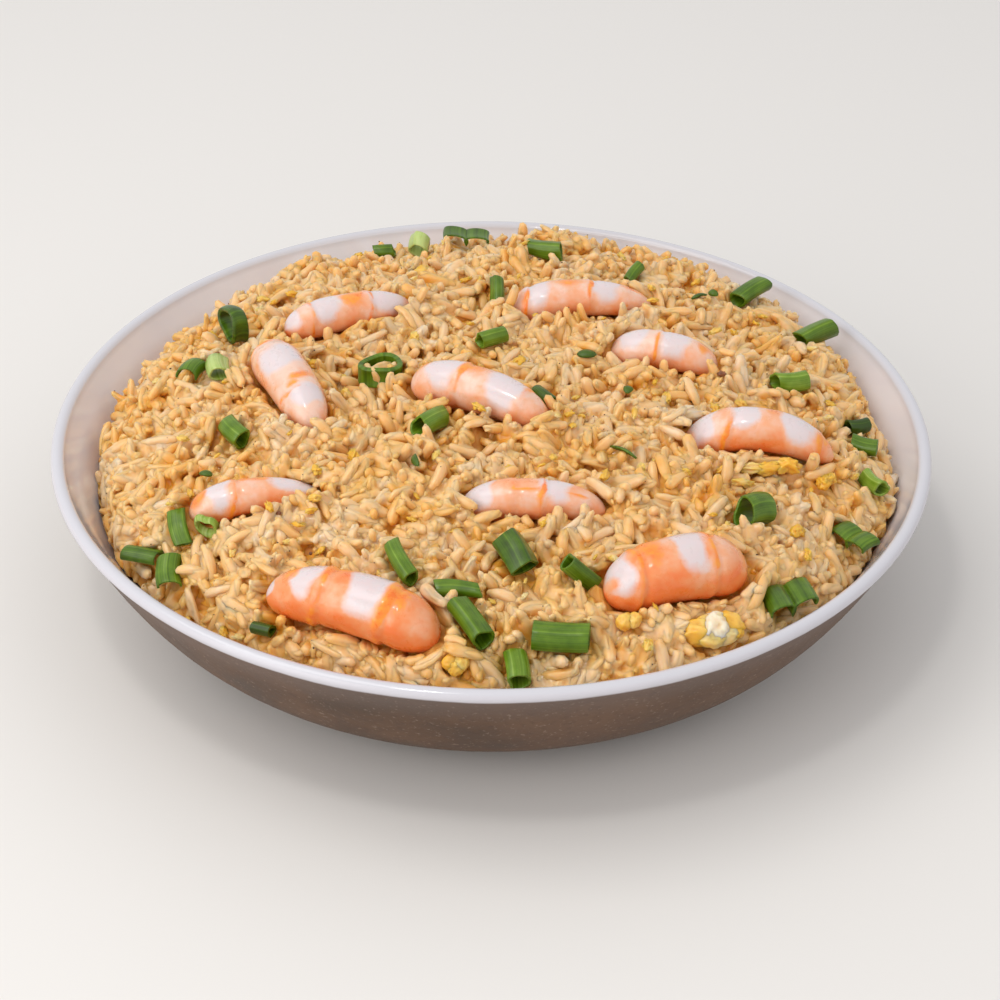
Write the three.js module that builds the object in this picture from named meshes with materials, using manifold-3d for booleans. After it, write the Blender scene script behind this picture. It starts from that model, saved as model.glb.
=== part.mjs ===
// Shrimp fried rice heaped in a shallow glazed bowl.
// Millimetres, +Z up. The foot of the bowl stands on z = 0, centred on the origin.

import * as THREE from 'three';
import { mergeVertices } from 'three/addons/utils/BufferGeometryUtils.js';
import Module from 'manifold-3d';

const wasm = await Module();
wasm.setup();

const radians = THREE.MathUtils.degToRad;
const gap = 0.3; // left between pieces that touch
const weldDistance = 1e-4;

// The bowl
const rimRadius = 110;
const bowlHeight = 45;
const footRadius = 62;
const footHeight = 3;
const footWidth = 4;
const floorThickness = 5;
const lipThickness = 3.6;
const innerFootRadius = 60; // where the inner wall leaves the flat floor
const flare = 0.36; // below 1 the wall rises steeply towards the rim
const bowlSides = 48;
const wallRows = 5;
const lipRows = 3;

// The heap of rice
const heapRadius = 99.5;
const heapShift = 2; // the heap lies a little to the right of the bowl's middle
const heapEdgeHeight = 36;
const heapCrown = 54;
const heapFullness = 3; // above 2 the middle is flatter and the edge steeper
const edgeSlope = 2; // fall beyond the heap's edge, down to the wall
const backRise = 3.5; // the far side is piled higher
const swellHeight = 0.8;
const swellLength = 12;
const edgeWander = 1.3; // how far the edge runs in and out
const clusters = [
  { x: 19, y: 82, radius: 9, height: 3.5 },
  { x: 52, y: 71, radius: 9, height: 3.5 },
  { x: -52, y: 74, radius: 10, height: 2 },
  { x: -71, y: 58, radius: 9, height: 2.5 },
  { x: 88, y: 34, radius: 10, height: 2.5 },
  { x: 2, y: 62, radius: 11, height: 1.5 },
  { x: -12, y: -32, radius: 12, height: 1.5 },
  { x: 38, y: -6, radius: 12, height: 1.5 },
];

// Grains on the heap, as bumps of their size: two neighbouring points raised together
const grainStep = 5.1;
const grainRise = 1.8;
const grainRiseSpread = 0.8;
const grainSeed = 20;

// The toppings
const shrimpSides = 10;
const shrimpRows = 8;
const shrimpBluntness = 4; // above 2 the ends are blunter than an egg's
const shrimpTaper = 0.2;
const scallionSides = 6;
const scallionWall = 0.9;
const eggDetail = 1;

const material = (color, roughness) => new THREE.MeshStandardMaterial({ color, roughness, metalness: 0 });
const glaze = material(0xe6e1e7, 0.18);
const riceColour = material(0xe1b476, 0.45);
const shrimpColour = material(0xf5aa82, 0.3);
const scallionColour = material(0x78913f, 0.35);
const eggColour = material(0xf0bb5c, 0.45);

// Seeded random numbers from 0 to 1
function seeded(seed) {
  let state = seed;
  return () => {
    state = (state + 0x6d2b79f5) | 0;
    let mixed = Math.imul(state ^ (state >>> 15), 1 | state);
    mixed = (mixed + Math.imul(mixed ^ (mixed >>> 7), 61 | mixed)) ^ mixed;
    return ((mixed ^ (mixed >>> 14)) >>> 0) / 4294967296;
  };
}

// Closed solids and the library that cuts and joins them

function welded(geometry) {
  geometry.deleteAttribute('normal');
  geometry.deleteAttribute('uv');
  return mergeVertices(geometry, weldDistance);
}

function toManifold(geometry) {
  return new wasm.Manifold(new wasm.Mesh({
    numProp: 3,
    vertProperties: new Float32Array(geometry.getAttribute('position').array),
    triVerts: new Uint32Array(geometry.index.array),
  }));
}

function toGeometry(solid) {
  const mesh = solid.getMesh();
  const geometry = new THREE.BufferGeometry();
  geometry.setAttribute('position', new THREE.BufferAttribute(mesh.vertProperties, 3));
  geometry.setIndex(new THREE.BufferAttribute(mesh.triVerts, 1));
  return geometry;
}

// A profile of [radius, height] pairs turned about Z
function turned(profile, sides) {
  const points = profile.map(([radius, height]) => new THREE.Vector2(radius, height));
  const geometry = new THREE.LatheGeometry(points, sides);
  geometry.rotateX(Math.PI / 2);
  return welded(geometry);
}

// Wall curves of the bowl, as the radius at a height

function wallRadius(height, foot, footTop, rim) {
  const share = THREE.MathUtils.clamp((height - footTop) / (bowlHeight - footTop), 0, 1);
  return foot + (rim - foot) * share ** flare;
}

const floorHeight = footHeight + floorThickness;
const innerRimRadius = rimRadius - lipThickness;
const outerWall = (height) => wallRadius(height, footRadius, footHeight, rimRadius);
const innerWall = (height) => wallRadius(height, innerFootRadius, floorHeight, innerRimRadius);

// Points up a wall, closer together near the foot, where it curves most
function wallPoints(radiusAt, bottom, top) {
  const points = [];
  for (let row = 0; row <= wallRows; row += 1) {
    const height = bottom + (top - bottom) * (row / wallRows) ** 2;
    points.push([radiusAt(height), height]);
  }
  return points;
}

function makeBowl() {
  const lipRadius = lipThickness / 2;
  const lipBottom = bowlHeight - lipRadius;
  const lip = [];
  for (let row = 0; row <= lipRows + 1; row += 1) {
    const angle = (Math.PI * row) / (lipRows + 1);
    lip.push([
      rimRadius - lipRadius + lipRadius * Math.cos(angle),
      lipBottom + lipRadius * Math.sin(angle),
    ]);
  }
  const outside = wallPoints(outerWall, footHeight, lipBottom).slice(0, -1);
  const inside = wallPoints(innerWall, floorHeight, lipBottom).slice(0, -1).reverse();
  const footInside = footRadius - footWidth;
  const profile = [
    [0, footHeight],
    [footInside, footHeight],
    [footInside, 0],
    [footRadius, 0],
    ...outside,
    ...lip,
    ...inside,
    [0, floorHeight],
  ];
  const bowl = new THREE.Mesh(turned(profile, bowlSides), glaze);
  bowl.name = 'bowl';
  return bowl;
}

// Height of the bare heap above a point
function heapHeight(x, y) {
  const angle = Math.atan2(y, x - heapShift);
  const wander = edgeWander * (Math.sin(3 * angle + 1) + 0.7 * Math.sin(8 * angle) + 0.5 * Math.cos(13 * angle));
  const reach = Math.hypot(x - heapShift, y) + wander;
  const dome = Math.sqrt(Math.max(0, 1 - (reach / heapRadius) ** heapFullness));
  const swell = Math.sin(x / swellLength + 1) * Math.cos(y / swellLength) + 0.6 * Math.sin((x - y) / (swellLength / 2));
  let height = heapEdgeHeight + (heapCrown - heapEdgeHeight) * dome;
  height += swellHeight * swell * dome;
  height += backRise * Math.max(0, y / heapRadius);
  for (const cluster of clusters) {
    const far = Math.hypot(x - cluster.x, y - cluster.y) / cluster.radius;
    height += cluster.height * Math.exp(-far * far);
  }
  return height - edgeSlope * Math.max(0, reach - heapRadius);
}

// Rice

const rowStep = (grainStep * Math.sqrt(3)) / 2;
const gridReach = heapRadius + heapShift + 2 * grainStep;
const columns = Math.ceil((2 * gridReach) / grainStep) + 1;
const rows = Math.ceil((2 * gridReach) / rowStep) + 1;
const pointIndex = (column, row) => row * columns + column;

// The six points round one point of the triangular grid
function neighbours(column, row) {
  const shift = row % 2;
  return [
    [column - 1, row],
    [column + 1, row],
    [column - 1 + shift, row + 1],
    [column + shift, row + 1],
    [column - 1 + shift, row - 1],
    [column + shift, row - 1],
  ].filter(([c, r]) => c >= 0 && c < columns && r >= 0 && r < rows);
}

// Rise of every grid point: grains lie at random, no two of them touching
function grainRises() {
  const random = seeded(grainSeed);
  const rises = new Float32Array(columns * rows);
  const isFree = (column, row) => neighbours(column, row).every(([c, r]) => rises[pointIndex(c, r)] === 0);
  for (let attempt = 0; attempt < 6 * columns * rows; attempt += 1) {
    const column = Math.floor(random() * columns);
    const row = Math.floor(random() * rows);
    const around = neighbours(column, row);
    const [endColumn, endRow] = around[Math.floor(random() * around.length)];
    const rise = grainRise + grainRiseSpread * (random() - 0.5);
    const bare = rises[pointIndex(column, row)] === 0 && rises[pointIndex(endColumn, endRow)] === 0;
    if (bare && isFree(column, row) && isFree(endColumn, endRow)) {
      rises[pointIndex(column, row)] = rise;
      rises[pointIndex(endColumn, endRow)] = rise;
    }
  }
  return rises;
}

// A block whose top is the heap and whose flat underside lies below the bowl's floor
function heapBlock() {
  const rises = grainRises();
  const top = [];
  const bottom = [];
  for (let row = 0; row < rows; row += 1) {
    for (let column = 0; column < columns; column += 1) {
      const x = -gridReach + grainStep * (column + (row % 2) / 2);
      const y = -gridReach + rowStep * row;
      top.push(x, y, heapHeight(x, y) + rises[pointIndex(column, row)]);
      bottom.push(x, y, 0);
    }
  }
  const count = columns * rows;
  const faces = [];
  const addCell = (a, b, c) => faces.push(a, b, c, count + c, count + b, count + a);
  for (let row = 0; row < rows - 1; row += 1) {
    for (let column = 0; column < columns - 1; column += 1) {
      const near = pointIndex(column, row);
      const far = pointIndex(column, row + 1);
      if (row % 2 === 0) {
        addCell(near, near + 1, far);
        addCell(near + 1, far + 1, far);
      } else {
        addCell(near, near + 1, far + 1);
        addCell(near, far + 1, far);
      }
    }
  }
  const addSide = (a, b) => faces.push(b, a, count + a, b, count + a, count + b);
  for (let column = 0; column < columns - 1; column += 1) {
    addSide(pointIndex(column, 0), pointIndex(column + 1, 0));
    addSide(pointIndex(column + 1, rows - 1), pointIndex(column, rows - 1));
  }
  for (let row = 0; row < rows - 1; row += 1) {
    addSide(pointIndex(columns - 1, row), pointIndex(columns - 1, row + 1));
    addSide(pointIndex(0, row + 1), pointIndex(0, row));
  }
  const geometry = new THREE.BufferGeometry();
  geometry.setAttribute('position', new THREE.Float32BufferAttribute([...top, ...bottom], 3));
  geometry.setIndex(faces);
  return geometry;
}

// The room inside the bowl, clear of its wall
function bowlRoom() {
  const roomTop = heapCrown + bowlHeight;
  const wall = wallPoints(innerWall, floorHeight, bowlHeight)
    .map(([radius, height]) => [radius - gap, height + gap]);
  const profile = [
    [0, floorHeight + gap],
    ...wall,
    [innerRimRadius, roomTop],
    [0, roomTop],
  ];
  return turned(profile, bowlSides);
}

// Toppings: each maker gives a geometry that lies along X, and can make it larger all round

function shrimpGeometry({ length, width, height = width, arch, taper = shrimpTaper }, grow = 0) {
  const geometry = new THREE.SphereGeometry(1, shrimpSides, shrimpRows);
  geometry.rotateZ(-Math.PI / 2);
  const solid = welded(geometry);
  const position = solid.getAttribute('position');
  for (let i = 0; i < position.count; i += 1) {
    const along = position.getX(i);
    const ring = Math.hypot(position.getY(i), position.getZ(i));
    const fullness = Math.sqrt(1 - Math.abs(along) ** shrimpBluntness) * (1 - taper * (along + 1) / 2);
    const around = ring > weldDistance ? fullness / ring : 0;
    position.setXYZ(
      i,
      along * (length / 2 + grow),
      position.getY(i) * around * (width / 2 + grow),
      position.getZ(i) * around * (height / 2 + grow) - arch * along * along,
    );
  }
  return solid;
}

// A cut piece of scallion: a tube, pressed flat by the given share
function scallionGeometry({ length, width, flat = 1, wall = scallionWall }) {
  const outer = width / 2;
  const profile = [
    [outer, -length / 2],
    [outer, length / 2],
    [outer - wall, length / 2],
    [outer - wall, -length / 2],
    [outer, -length / 2],
  ];
  const solid = turned(profile, scallionSides);
  solid.rotateY(Math.PI / 2);
  solid.scale(1, 1, flat);
  return solid;
}

// The space a piece of scallion takes: solid through, or a tube where rice fills it
function scallionSpace({ length, width, flat = 1, wall = scallionWall, filled = false }) {
  const outer = width / 2 + gap;
  const inner = width / 2 - wall - gap;
  const half = length / 2 + gap;
  const tube = [[outer, -half], [outer, half], [inner, half], [inner, -half], [outer, -half]];
  const plug = [[0, -half], [outer, -half], [outer, half], [0, half]];
  const solid = turned(filled ? tube : plug, scallionSides);
  solid.rotateY(Math.PI / 2);
  solid.scale(1, 1, (flat * width + 2 * gap) / (width + 2 * gap));
  return solid;
}

// A curd of fried egg: a lumpy rounded piece
function eggGeometry({ length, width, height, seed }, grow = 0) {
  const solid = welded(new THREE.IcosahedronGeometry(1, eggDetail));
  const position = solid.getAttribute('position');
  const random = seeded(seed);
  for (let i = 0; i < position.count; i += 1) {
    const lump = 0.8 + 0.4 * random();
    position.setXYZ(
      i,
      position.getX(i) * lump * (length / 2 + grow),
      position.getY(i) * lump * (width / 2 + grow),
      position.getZ(i) * lump * (height / 2 + grow),
    );
  }
  return solid;
}

// Sets a piece down on the heap: lift is how far its middle stands above the rice
function place(solid, { x, y, turn = 0, tilt = 0, roll = 0, lift = 0 }) {
  solid.position.set(x, y, heapHeight(x, y) + lift);
  solid.rotation.set(radians(roll), -radians(tilt), radians(turn), 'ZYX');
  solid.updateMatrix();
  return solid;
}

const shrimp = {
  back_left: { x: -38, y: 34.5, turn: 23, length: 35, width: 11.5, arch: 2, lift: 2 },
  left: { x: -50.5, y: 0.5, turn: -66, length: 38, width: 15, arch: 2.5, lift: 3 },
  middle: { x: -3, y: -6.5, turn: -28, length: 38, width: 14, arch: 3, lift: 3 },
  back_right: { x: 23, y: 42, turn: 5, length: 38, width: 13, arch: 3, lift: 2.5, taper: 0.35 },
  right_upper: { x: 44, y: 18, turn: -14, length: 28, width: 12, arch: 2.5, lift: 2 },
  right: { x: 65, y: -20, turn: -8, length: 37, width: 13, arch: 6, lift: 4 },
  front_left: { x: -55, y: -44, turn: 13, length: 32, width: 11, arch: 3, lift: 1.5, taper: 0.35 },
  front_middle: { x: 10, y: -48, turn: -1, length: 34, width: 11.5, arch: 3, lift: 1.5 },
  near_left: { x: -30.3, y: -82, turn: -22, length: 42, width: 14, arch: 3.5, lift: 3.5, taper: -0.15 },
  near_right: { x: 42, y: -72, turn: 18, length: 34, width: 15.5, arch: 3, lift: 3.5, taper: -0.1 },
};

const scallions = {
  far_small: { x: -31, y: 82, turn: 10, length: 6, width: 4.5, lift: 1 },
  far_pale: { x: -21, y: 83, turn: 80, tilt: 35, length: 5, width: 7.5, lift: 1.5 },
  far_curl: { x: -8, y: 84, turn: 0, length: 12, width: 6, flat: 0.8, lift: 2.5 },
  far_tube: { x: 14, y: 73, turn: -18, length: 10, width: 6, lift: 0.5 },
  far_right_small: { x: 38, y: 61, turn: 55, tilt: 20, length: 7, width: 4.5, lift: 1.5 },
  far_right: { x: 70, y: 59, turn: 38, tilt: 12, length: 10.5, width: 6.5, lift: 2 },
  right_back: { x: 86, y: 41, turn: 28, tilt: 8, length: 10.5, width: 7, lift: 2 },
  right_inner: { x: 76, y: 10, turn: 10, length: 8.5, width: 6.5, lift: 1.5 },
  right_edge_dark: { x: 92, y: -2, turn: 15, length: 6, width: 5, lift: 0.5 },
  right_edge: { x: 92.5, y: -12, turn: -25, length: 7, width: 5.5, lift: 1.5 },
  right_edge_pale: { x: 92.8, y: -27, turn: -60, length: 7, width: 5.8, lift: 1.5 },
  right_fold: { x: 86, y: -46.5, turn: -48, length: 10, width: 6.5, flat: 0.85, lift: 1.5 },
  right_open: { x: 62, y: -47, turn: 38, tilt: -15, length: 8, width: 8.5, lift: 1 },
  near_right_curl: { x: 68, y: -72, turn: 15, length: 11.5, width: 8.5, flat: 0.9, lift: 1.5 },
  near_tube: { x: 20.5, y: -74, turn: 8, tilt: -46, length: 9.5, width: 6, lift: 2 },
  near_middle: { x: 6, y: -68, turn: -65, tilt: -10, length: 11, width: 8.5, lift: 1.5 },
  near_front: { x: 16, y: -90, turn: -4, length: 13, width: 7.5, lift: 1.5 },
  near_front_pale: { x: 6.5, y: -96, turn: -82, tilt: -15, length: 8, width: 7, lift: 1 },
  near_long: { x: -20, y: -70, turn: -66, tilt: -10, length: 12.5, width: 5.5, lift: 1.5 },
  near_cross: { x: -7, y: -78, turn: -3, length: 10.5, width: 5.5, flat: 0.9, lift: 0.5 },
  near_open: { x: -3.8, y: -88, turn: -58, tilt: -12, length: 12, width: 7, lift: 1.5 },
  near_left_small: { x: -50.5, y: -81.5, turn: -20, length: 5, width: 4, lift: 1 },
  left_upright: { x: -72.5, y: -51.5, turn: 108, tilt: 30, length: 9.5, width: 5.5, flat: 0.8, lift: 1.5 },
  left_thin_ring: { x: -66, y: -52, turn: 80, tilt: 25, length: 2.5, width: 6, wall: 0.6, lift: 1.5 },
  left_edge: { x: -81, y: -54.5, turn: -15, length: 9, width: 5, flat: 0.8, lift: 0.5 },
  left_arch: { x: -74, y: -62, turn: 95, tilt: 20, length: 8.5, width: 6, flat: 0.8, lift: 1.5 },
  left_middle: { x: -63, y: -18, turn: -56, length: 9, width: 6.5, lift: 1.5 },
  left_dark: { x: -77, y: 13, turn: 68, length: 6.5, width: 6, flat: 0.8, lift: 1.5 },
  left_pale: { x: -70, y: 12, turn: -78, length: 8, width: 6.6, flat: 0.9, lift: 2 },
  left_ring: { x: -68, y: 33, turn: 42, tilt: -12, length: 5, width: 11.5, wall: 1.1, lift: 3.5 },
  middle_ring: { x: -28, y: 8, tilt: 82, turn: 90, length: 5, width: 12.5, wall: 1.3, lift: 1, filled: true },
  middle_tube: { x: -14.8, y: -18.3, turn: 55, tilt: -10, length: 10, width: 6.5, lift: 1.5 },
  middle_strip: { x: 13, y: -5, turn: -55, length: 8, width: 4, lift: 1 },
  upper_small: { x: 0, y: 22, turn: 30, length: 8, width: 5, lift: 1.5 },
  upper_upright: { x: 1, y: 46, turn: 90, tilt: 38, length: 9, width: 5, lift: 2 },
};

const eggs = {
  near_curd: { x: 50, y: -84.5, turn: 15, length: 13, width: 8.5, height: 9, seed: 3, lift: 1.5 },
  near_bit: { x: 31, y: -85, turn: 18, length: 6.5, width: 5, height: 5, seed: 5, lift: 0.5 },
  near_left_curd: { x: -7, y: -96, turn: 5, length: 6.5, width: 5, height: 6, seed: 8, lift: 0.5 },
  right_strip: { x: 65, y: -30.5, turn: 5, length: 24, width: 3.5, height: 4, seed: 12, lift: 1 },
  right_flake: { x: 81, y: -30, turn: 40, length: 7, width: 4.5, height: 4, seed: 14, lift: 0.5 },
};

// Slivers of scallion and egg too small to part from the rice they lie on
const slivers = [
  { x: 24, y: 14, turn: 0, length: 5 },
  { x: 32, y: -29, turn: -40, length: 8 },
  { x: -18, y: -36, turn: -75, length: 5 },
  { x: -9, y: -52, turn: -50, length: 3 },
  { x: -68, y: -34, turn: -20, length: 3.5 },
  { x: 55, y: 49, turn: 30, length: 5 },
  { x: 59, y: 52, turn: -30, length: 3 },
  { x: 34, y: -2, turn: 70, length: 6 },
  { x: -22, y: 66, turn: -35, length: 9 },
  { x: 74, y: -58, turn: 75, length: 8 },
  { x: 57, y: 30, turn: 20, length: 5 },
];
const sliverWidth = 1.8;
const sliverHeight = 1.6;

const serving = new THREE.Group();
const taken = [];

function addPieces(prefix, pieces, shape, space, colour) {
  for (const [name, piece] of Object.entries(pieces)) {
    const solid = place(new THREE.Mesh(shape(piece), colour), piece);
    solid.name = `${prefix}_${name}`;
    serving.add(solid);
    taken.push(toManifold(space(piece).applyMatrix4(solid.matrix)));
  }
}

function makeRice() {
  let rice = toManifold(heapBlock()).intersect(toManifold(bowlRoom()));
  for (const sliver of slivers) {
    const box = new THREE.BoxGeometry(sliver.length, sliverWidth, 2 * sliverHeight);
    const strip = place(new THREE.Mesh(welded(box)), { ...sliver, lift: grainRise });
    rice = rice.add(toManifold(strip.geometry.applyMatrix4(strip.matrix)));
  }
  for (const space of taken) {
    rice = rice.subtract(space);
  }
  const mesh = new THREE.Mesh(toGeometry(rice), riceColour);
  mesh.name = 'rice';
  return mesh;
}

serving.add(makeBowl());
addPieces('shrimp', shrimp, shrimpGeometry, (piece) => shrimpGeometry(piece, gap), shrimpColour);
addPieces('scallion', scallions, scallionGeometry, scallionSpace, scallionColour);
addPieces('egg', eggs, eggGeometry, (piece) => eggGeometry(piece, gap), eggColour);
serving.add(makeRice());

export default serving;
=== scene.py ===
import math

import bpy
import numpy as np
from mathutils import Matrix, Vector, noise
from mathutils.kdtree import KDTree


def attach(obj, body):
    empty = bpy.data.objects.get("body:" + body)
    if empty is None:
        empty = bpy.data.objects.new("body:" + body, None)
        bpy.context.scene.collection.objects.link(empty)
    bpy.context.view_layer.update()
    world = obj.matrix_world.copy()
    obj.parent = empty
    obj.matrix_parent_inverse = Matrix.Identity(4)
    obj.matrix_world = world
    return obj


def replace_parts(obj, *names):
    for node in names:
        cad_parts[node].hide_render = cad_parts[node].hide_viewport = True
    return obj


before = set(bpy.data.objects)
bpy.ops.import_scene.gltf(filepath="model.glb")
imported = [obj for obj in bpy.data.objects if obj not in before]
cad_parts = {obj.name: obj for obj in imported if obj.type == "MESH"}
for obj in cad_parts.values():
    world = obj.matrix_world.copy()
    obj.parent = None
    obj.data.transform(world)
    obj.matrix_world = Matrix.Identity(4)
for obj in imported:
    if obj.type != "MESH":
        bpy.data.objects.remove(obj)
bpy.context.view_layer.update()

mm = 0.001  # sizes below are in millimetres

# Small helpers


def deselectAll():
    bpy.ops.object.select_all(action="DESELECT")


def selectOnly(piece):
    deselectAll()
    piece.select_set(True)
    bpy.context.view_layer.objects.active = piece


def applyPlace(piece):
    selectOnly(piece)
    bpy.ops.object.transform_apply(location=True, rotation=True, scale=True)


def applyModifiers(piece):
    selectOnly(piece)
    for modifier in list(piece.modifiers):
        bpy.ops.object.modifier_apply(modifier=modifier.name)


def getPoints(mesh):
    points = np.empty(len(mesh.vertices) * 3)
    mesh.vertices.foreach_get("co", points)
    return points.reshape(-1, 3)


def setPoints(mesh, points):
    mesh.vertices.foreach_set("co", points.ravel())
    mesh.update()


def addNumber(mesh, name, values):  # one number for each vertex, for a material to read
    layer = mesh.attributes.new(name, "FLOAT", "POINT")
    layer.data.foreach_set("value", np.asarray(values, dtype=np.float32))


def copiesMesh(name, points, faces):  # one mesh of many copies: their points in mm, and the faces they share
    count, size = points.shape[:2]
    starts = range(0, count * size, size)
    allFaces = [tuple(corner + start for corner in face) for start in starts for face in faces]
    mesh = bpy.data.meshes.new(name)
    mesh.from_pydata((points.reshape(-1, 3) * mm).tolist(), [], allFaces)
    return mesh


def newBall(name, subdivisions):  # a ball one unit in radius, with its points and faces
    deselectAll()
    bpy.ops.mesh.primitive_ico_sphere_add(subdivisions=subdivisions, radius=1)
    ball = bpy.context.object
    ball.name = name
    return ball, getPoints(ball.data), [tuple(face.vertices) for face in ball.data.polygons]


def ringBall(name, around, rings):  # a ball one unit in radius, with its rings set along X
    deselectAll()
    bpy.ops.mesh.primitive_uv_sphere_add(segments=around, ring_count=rings, radius=1)
    ball = bpy.context.object
    ball.name = name
    ball.rotation_euler = (0, math.radians(90), 0)
    applyPlace(ball)
    points = getPoints(ball.data)
    return ball, points, np.clip(points[:, 0], -1, 1), np.hypot(points[:, 1], points[:, 2])


def shadeSmooth(piece):
    selectOnly(piece)
    bpy.ops.object.shade_smooth()


def joinPieces(name, pieces, finish):
    deselectAll()
    for piece in pieces:
        piece.select_set(True)
    bpy.context.view_layer.objects.active = pieces[0]
    bpy.ops.object.join()
    whole = bpy.context.object
    whole.name = name
    whole.data.materials.append(finish)
    bpy.ops.object.shade_smooth()
    return whole


def waveSum(x, y, random, count, wavelengths):  # waves that run every way, from a seeded draw
    height = np.zeros_like(x)
    for wave in range(count):
        heading, shift = random.uniform(0, 2 * math.pi, 2)
        length = random.uniform(*wavelengths)
        across = x * math.cos(heading) + y * math.sin(heading)
        height = height + np.sin(across * 2 * math.pi / length + shift)
    return height


def smoothStep(low, high, value):
    share = np.clip((value - low) / (high - low), 0, 1)
    return share * share * (3 - 2 * share)


# Finishes


def newFinish(name, colour, roughness=0.5, **values):
    finish = bpy.data.materials.new(name)
    finish.use_nodes = True
    shader = finish.node_tree.nodes["Principled BSDF"]
    shader.inputs["Base Color"].default_value = (*colour, 1)
    shader.inputs["Roughness"].default_value = roughness
    for socket, value in values.items():
        shader.inputs[socket].default_value = value
    return finish, finish.node_tree, shader


def addNode(tree, kind, settings=None, links=None, **inputs):
    node = tree.nodes.new(kind)
    for name, value in (settings or {}).items():
        setattr(node, name, value)
    for name, value in inputs.items():
        node.inputs[name.replace("_", " ")].default_value = value
    for name, source in (links or {}).items():
        tree.links.new(source, node.inputs[name])
    return node


def objectPlace(tree):
    return addNode(tree, "ShaderNodeTexCoord").outputs["Object"]


def addNoise(tree, scale, detail=3, roughness=0.5):
    return addNode(tree, "ShaderNodeTexNoise", links={"Vector": objectPlace(tree)},
                   Scale=scale, Detail=detail, Roughness=roughness).outputs["Fac"]


def addRamp(tree, source, stops):
    ramp = addNode(tree, "ShaderNodeValToRGB", links={"Fac": source})
    points = ramp.color_ramp.elements
    for index, (place, colour) in enumerate(stops):
        point = points[index] if index < 2 else points.new(place)
        point.position = place
        point.color = (*colour, 1)
    return ramp.outputs["Color"]


def feed(tree, socket, value):  # a number, a colour or what comes out of another node
    if isinstance(value, (int, float)):
        socket.default_value = value
    elif isinstance(value, tuple):
        socket.default_value = (*value, 1)
    else:
        tree.links.new(value, socket)


def addMath(tree, operation, first, second=0.0, clamp=False):
    node = addNode(tree, "ShaderNodeMath", {"operation": operation, "use_clamp": clamp})
    feed(tree, node.inputs[0], first)
    feed(tree, node.inputs[1], second)
    return node.outputs[0]


def addMix(tree, share, first, second):
    node = addNode(tree, "ShaderNodeMix", {"data_type": "RGBA"})
    for socket, value in ((0, share), (6, first), (7, second)):  # 6 and 7 are the node's two colours
        feed(tree, node.inputs[socket], value)
    return node.outputs[2]


def addRange(tree, source, low, high, newLow=0.0, newHigh=1.0):
    node = addNode(tree, "ShaderNodeMapRange", links={"Value": source},
                   From_Min=low, From_Max=high, To_Min=newLow, To_Max=newHigh)
    return node.outputs["Result"]


def readNumber(tree, name):
    return addNode(tree, "ShaderNodeAttribute", {"attribute_name": name}).outputs["Fac"]


def addBump(tree, shader, height, strength, distance):
    bump = addNode(tree, "ShaderNodeBump", links={"Height": height}, Strength=strength, Distance=distance)
    tree.links.new(bump.outputs["Normal"], shader.inputs["Normal"])


# Bowl

bowlShape = {
    "rimRadius": 110, "height": 45, "lipThickness": 3.6,
    "footRadius": 62, "footHeight": 3, "footWidth": 4, "footRound": 0.8,
    "floorThickness": 5, "innerFootRadius": 60, "flare": 0.36,
    "sides": 144, "wallRows": 18, "lipRows": 9,
}


def wallRadius(height, foot, footTop, rim):
    share = np.clip((height - footTop) / (bowlShape["height"] - footTop), 0, 1)
    return foot + (rim - foot) * share ** bowlShape["flare"]


def outerWall(height):
    return wallRadius(height, bowlShape["footRadius"], bowlShape["footHeight"], bowlShape["rimRadius"])


def innerWall(height):
    floor = bowlShape["footHeight"] + bowlShape["floorThickness"]
    return wallRadius(height, bowlShape["innerFootRadius"], floor,
                      bowlShape["rimRadius"] - bowlShape["lipThickness"])


def bowlProfile(shape):
    lipRadius = shape["lipThickness"] / 2
    lipBottom = shape["height"] - lipRadius
    floor = shape["footHeight"] + shape["floorThickness"]
    footInside = shape["footRadius"] - shape["footWidth"]
    footRound = shape["footRound"]
    lipMiddle = shape["rimRadius"] - lipRadius
    steps = (np.arange(shape["wallRows"]) / shape["wallRows"]) ** 2  # closer where the wall curves most
    outsideHeights = shape["footHeight"] + 0.05 + (lipBottom - shape["footHeight"]) * steps
    insideHeights = floor + (lipBottom - floor) * steps
    outside = [(outerWall(height), height) for height in outsideHeights]
    inside = [(innerWall(height), height) for height in insideHeights]
    lip = [(lipMiddle + lipRadius * math.cos(angle), lipBottom + lipRadius * math.sin(angle))
           for angle in np.linspace(0, math.pi, shape["lipRows"])]
    foot = [
        (footInside, shape["footHeight"]), (footInside, footRound), (footInside + footRound, 0),
        (shape["footRadius"] - footRound, 0), (shape["footRadius"], footRound),
    ]
    return foot + outside + lip + inside[::-1]


def growRings(name, profile, sides):  # a closed solid, grown from a disc ring by ring through the profile
    radius, height = profile[0]
    deselectAll()
    bpy.ops.mesh.primitive_circle_add(
        vertices=sides, radius=radius * mm, location=(0, 0, height * mm), fill_type="NGON")
    piece = bpy.context.object
    piece.name = name
    applyPlace(piece)
    bpy.ops.object.mode_set(mode="EDIT")
    bpy.ops.mesh.select_all(action="SELECT")
    for nextRadius, nextHeight in profile[1:]:
        bpy.ops.mesh.extrude_region_move(TRANSFORM_OT_translate={"value": (0, 0, (nextHeight - height) * mm)})
        grow = nextRadius / radius
        bpy.ops.transform.resize(value=(grow, grow, 1), center_override=(0, 0, 0))
        radius, height = nextRadius, nextHeight
    bpy.ops.mesh.select_all(action="SELECT")
    bpy.ops.mesh.remove_doubles(threshold=0.00001)
    bpy.ops.mesh.normals_make_consistent(inside=False)
    bpy.ops.object.mode_set(mode="OBJECT")
    return piece


def makeBowl(shape):
    bowl = growRings("servingBowl", bowlProfile(shape), shape["sides"])
    bpy.ops.object.shade_smooth_by_angle(angle=math.radians(50))
    return bowl


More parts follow.
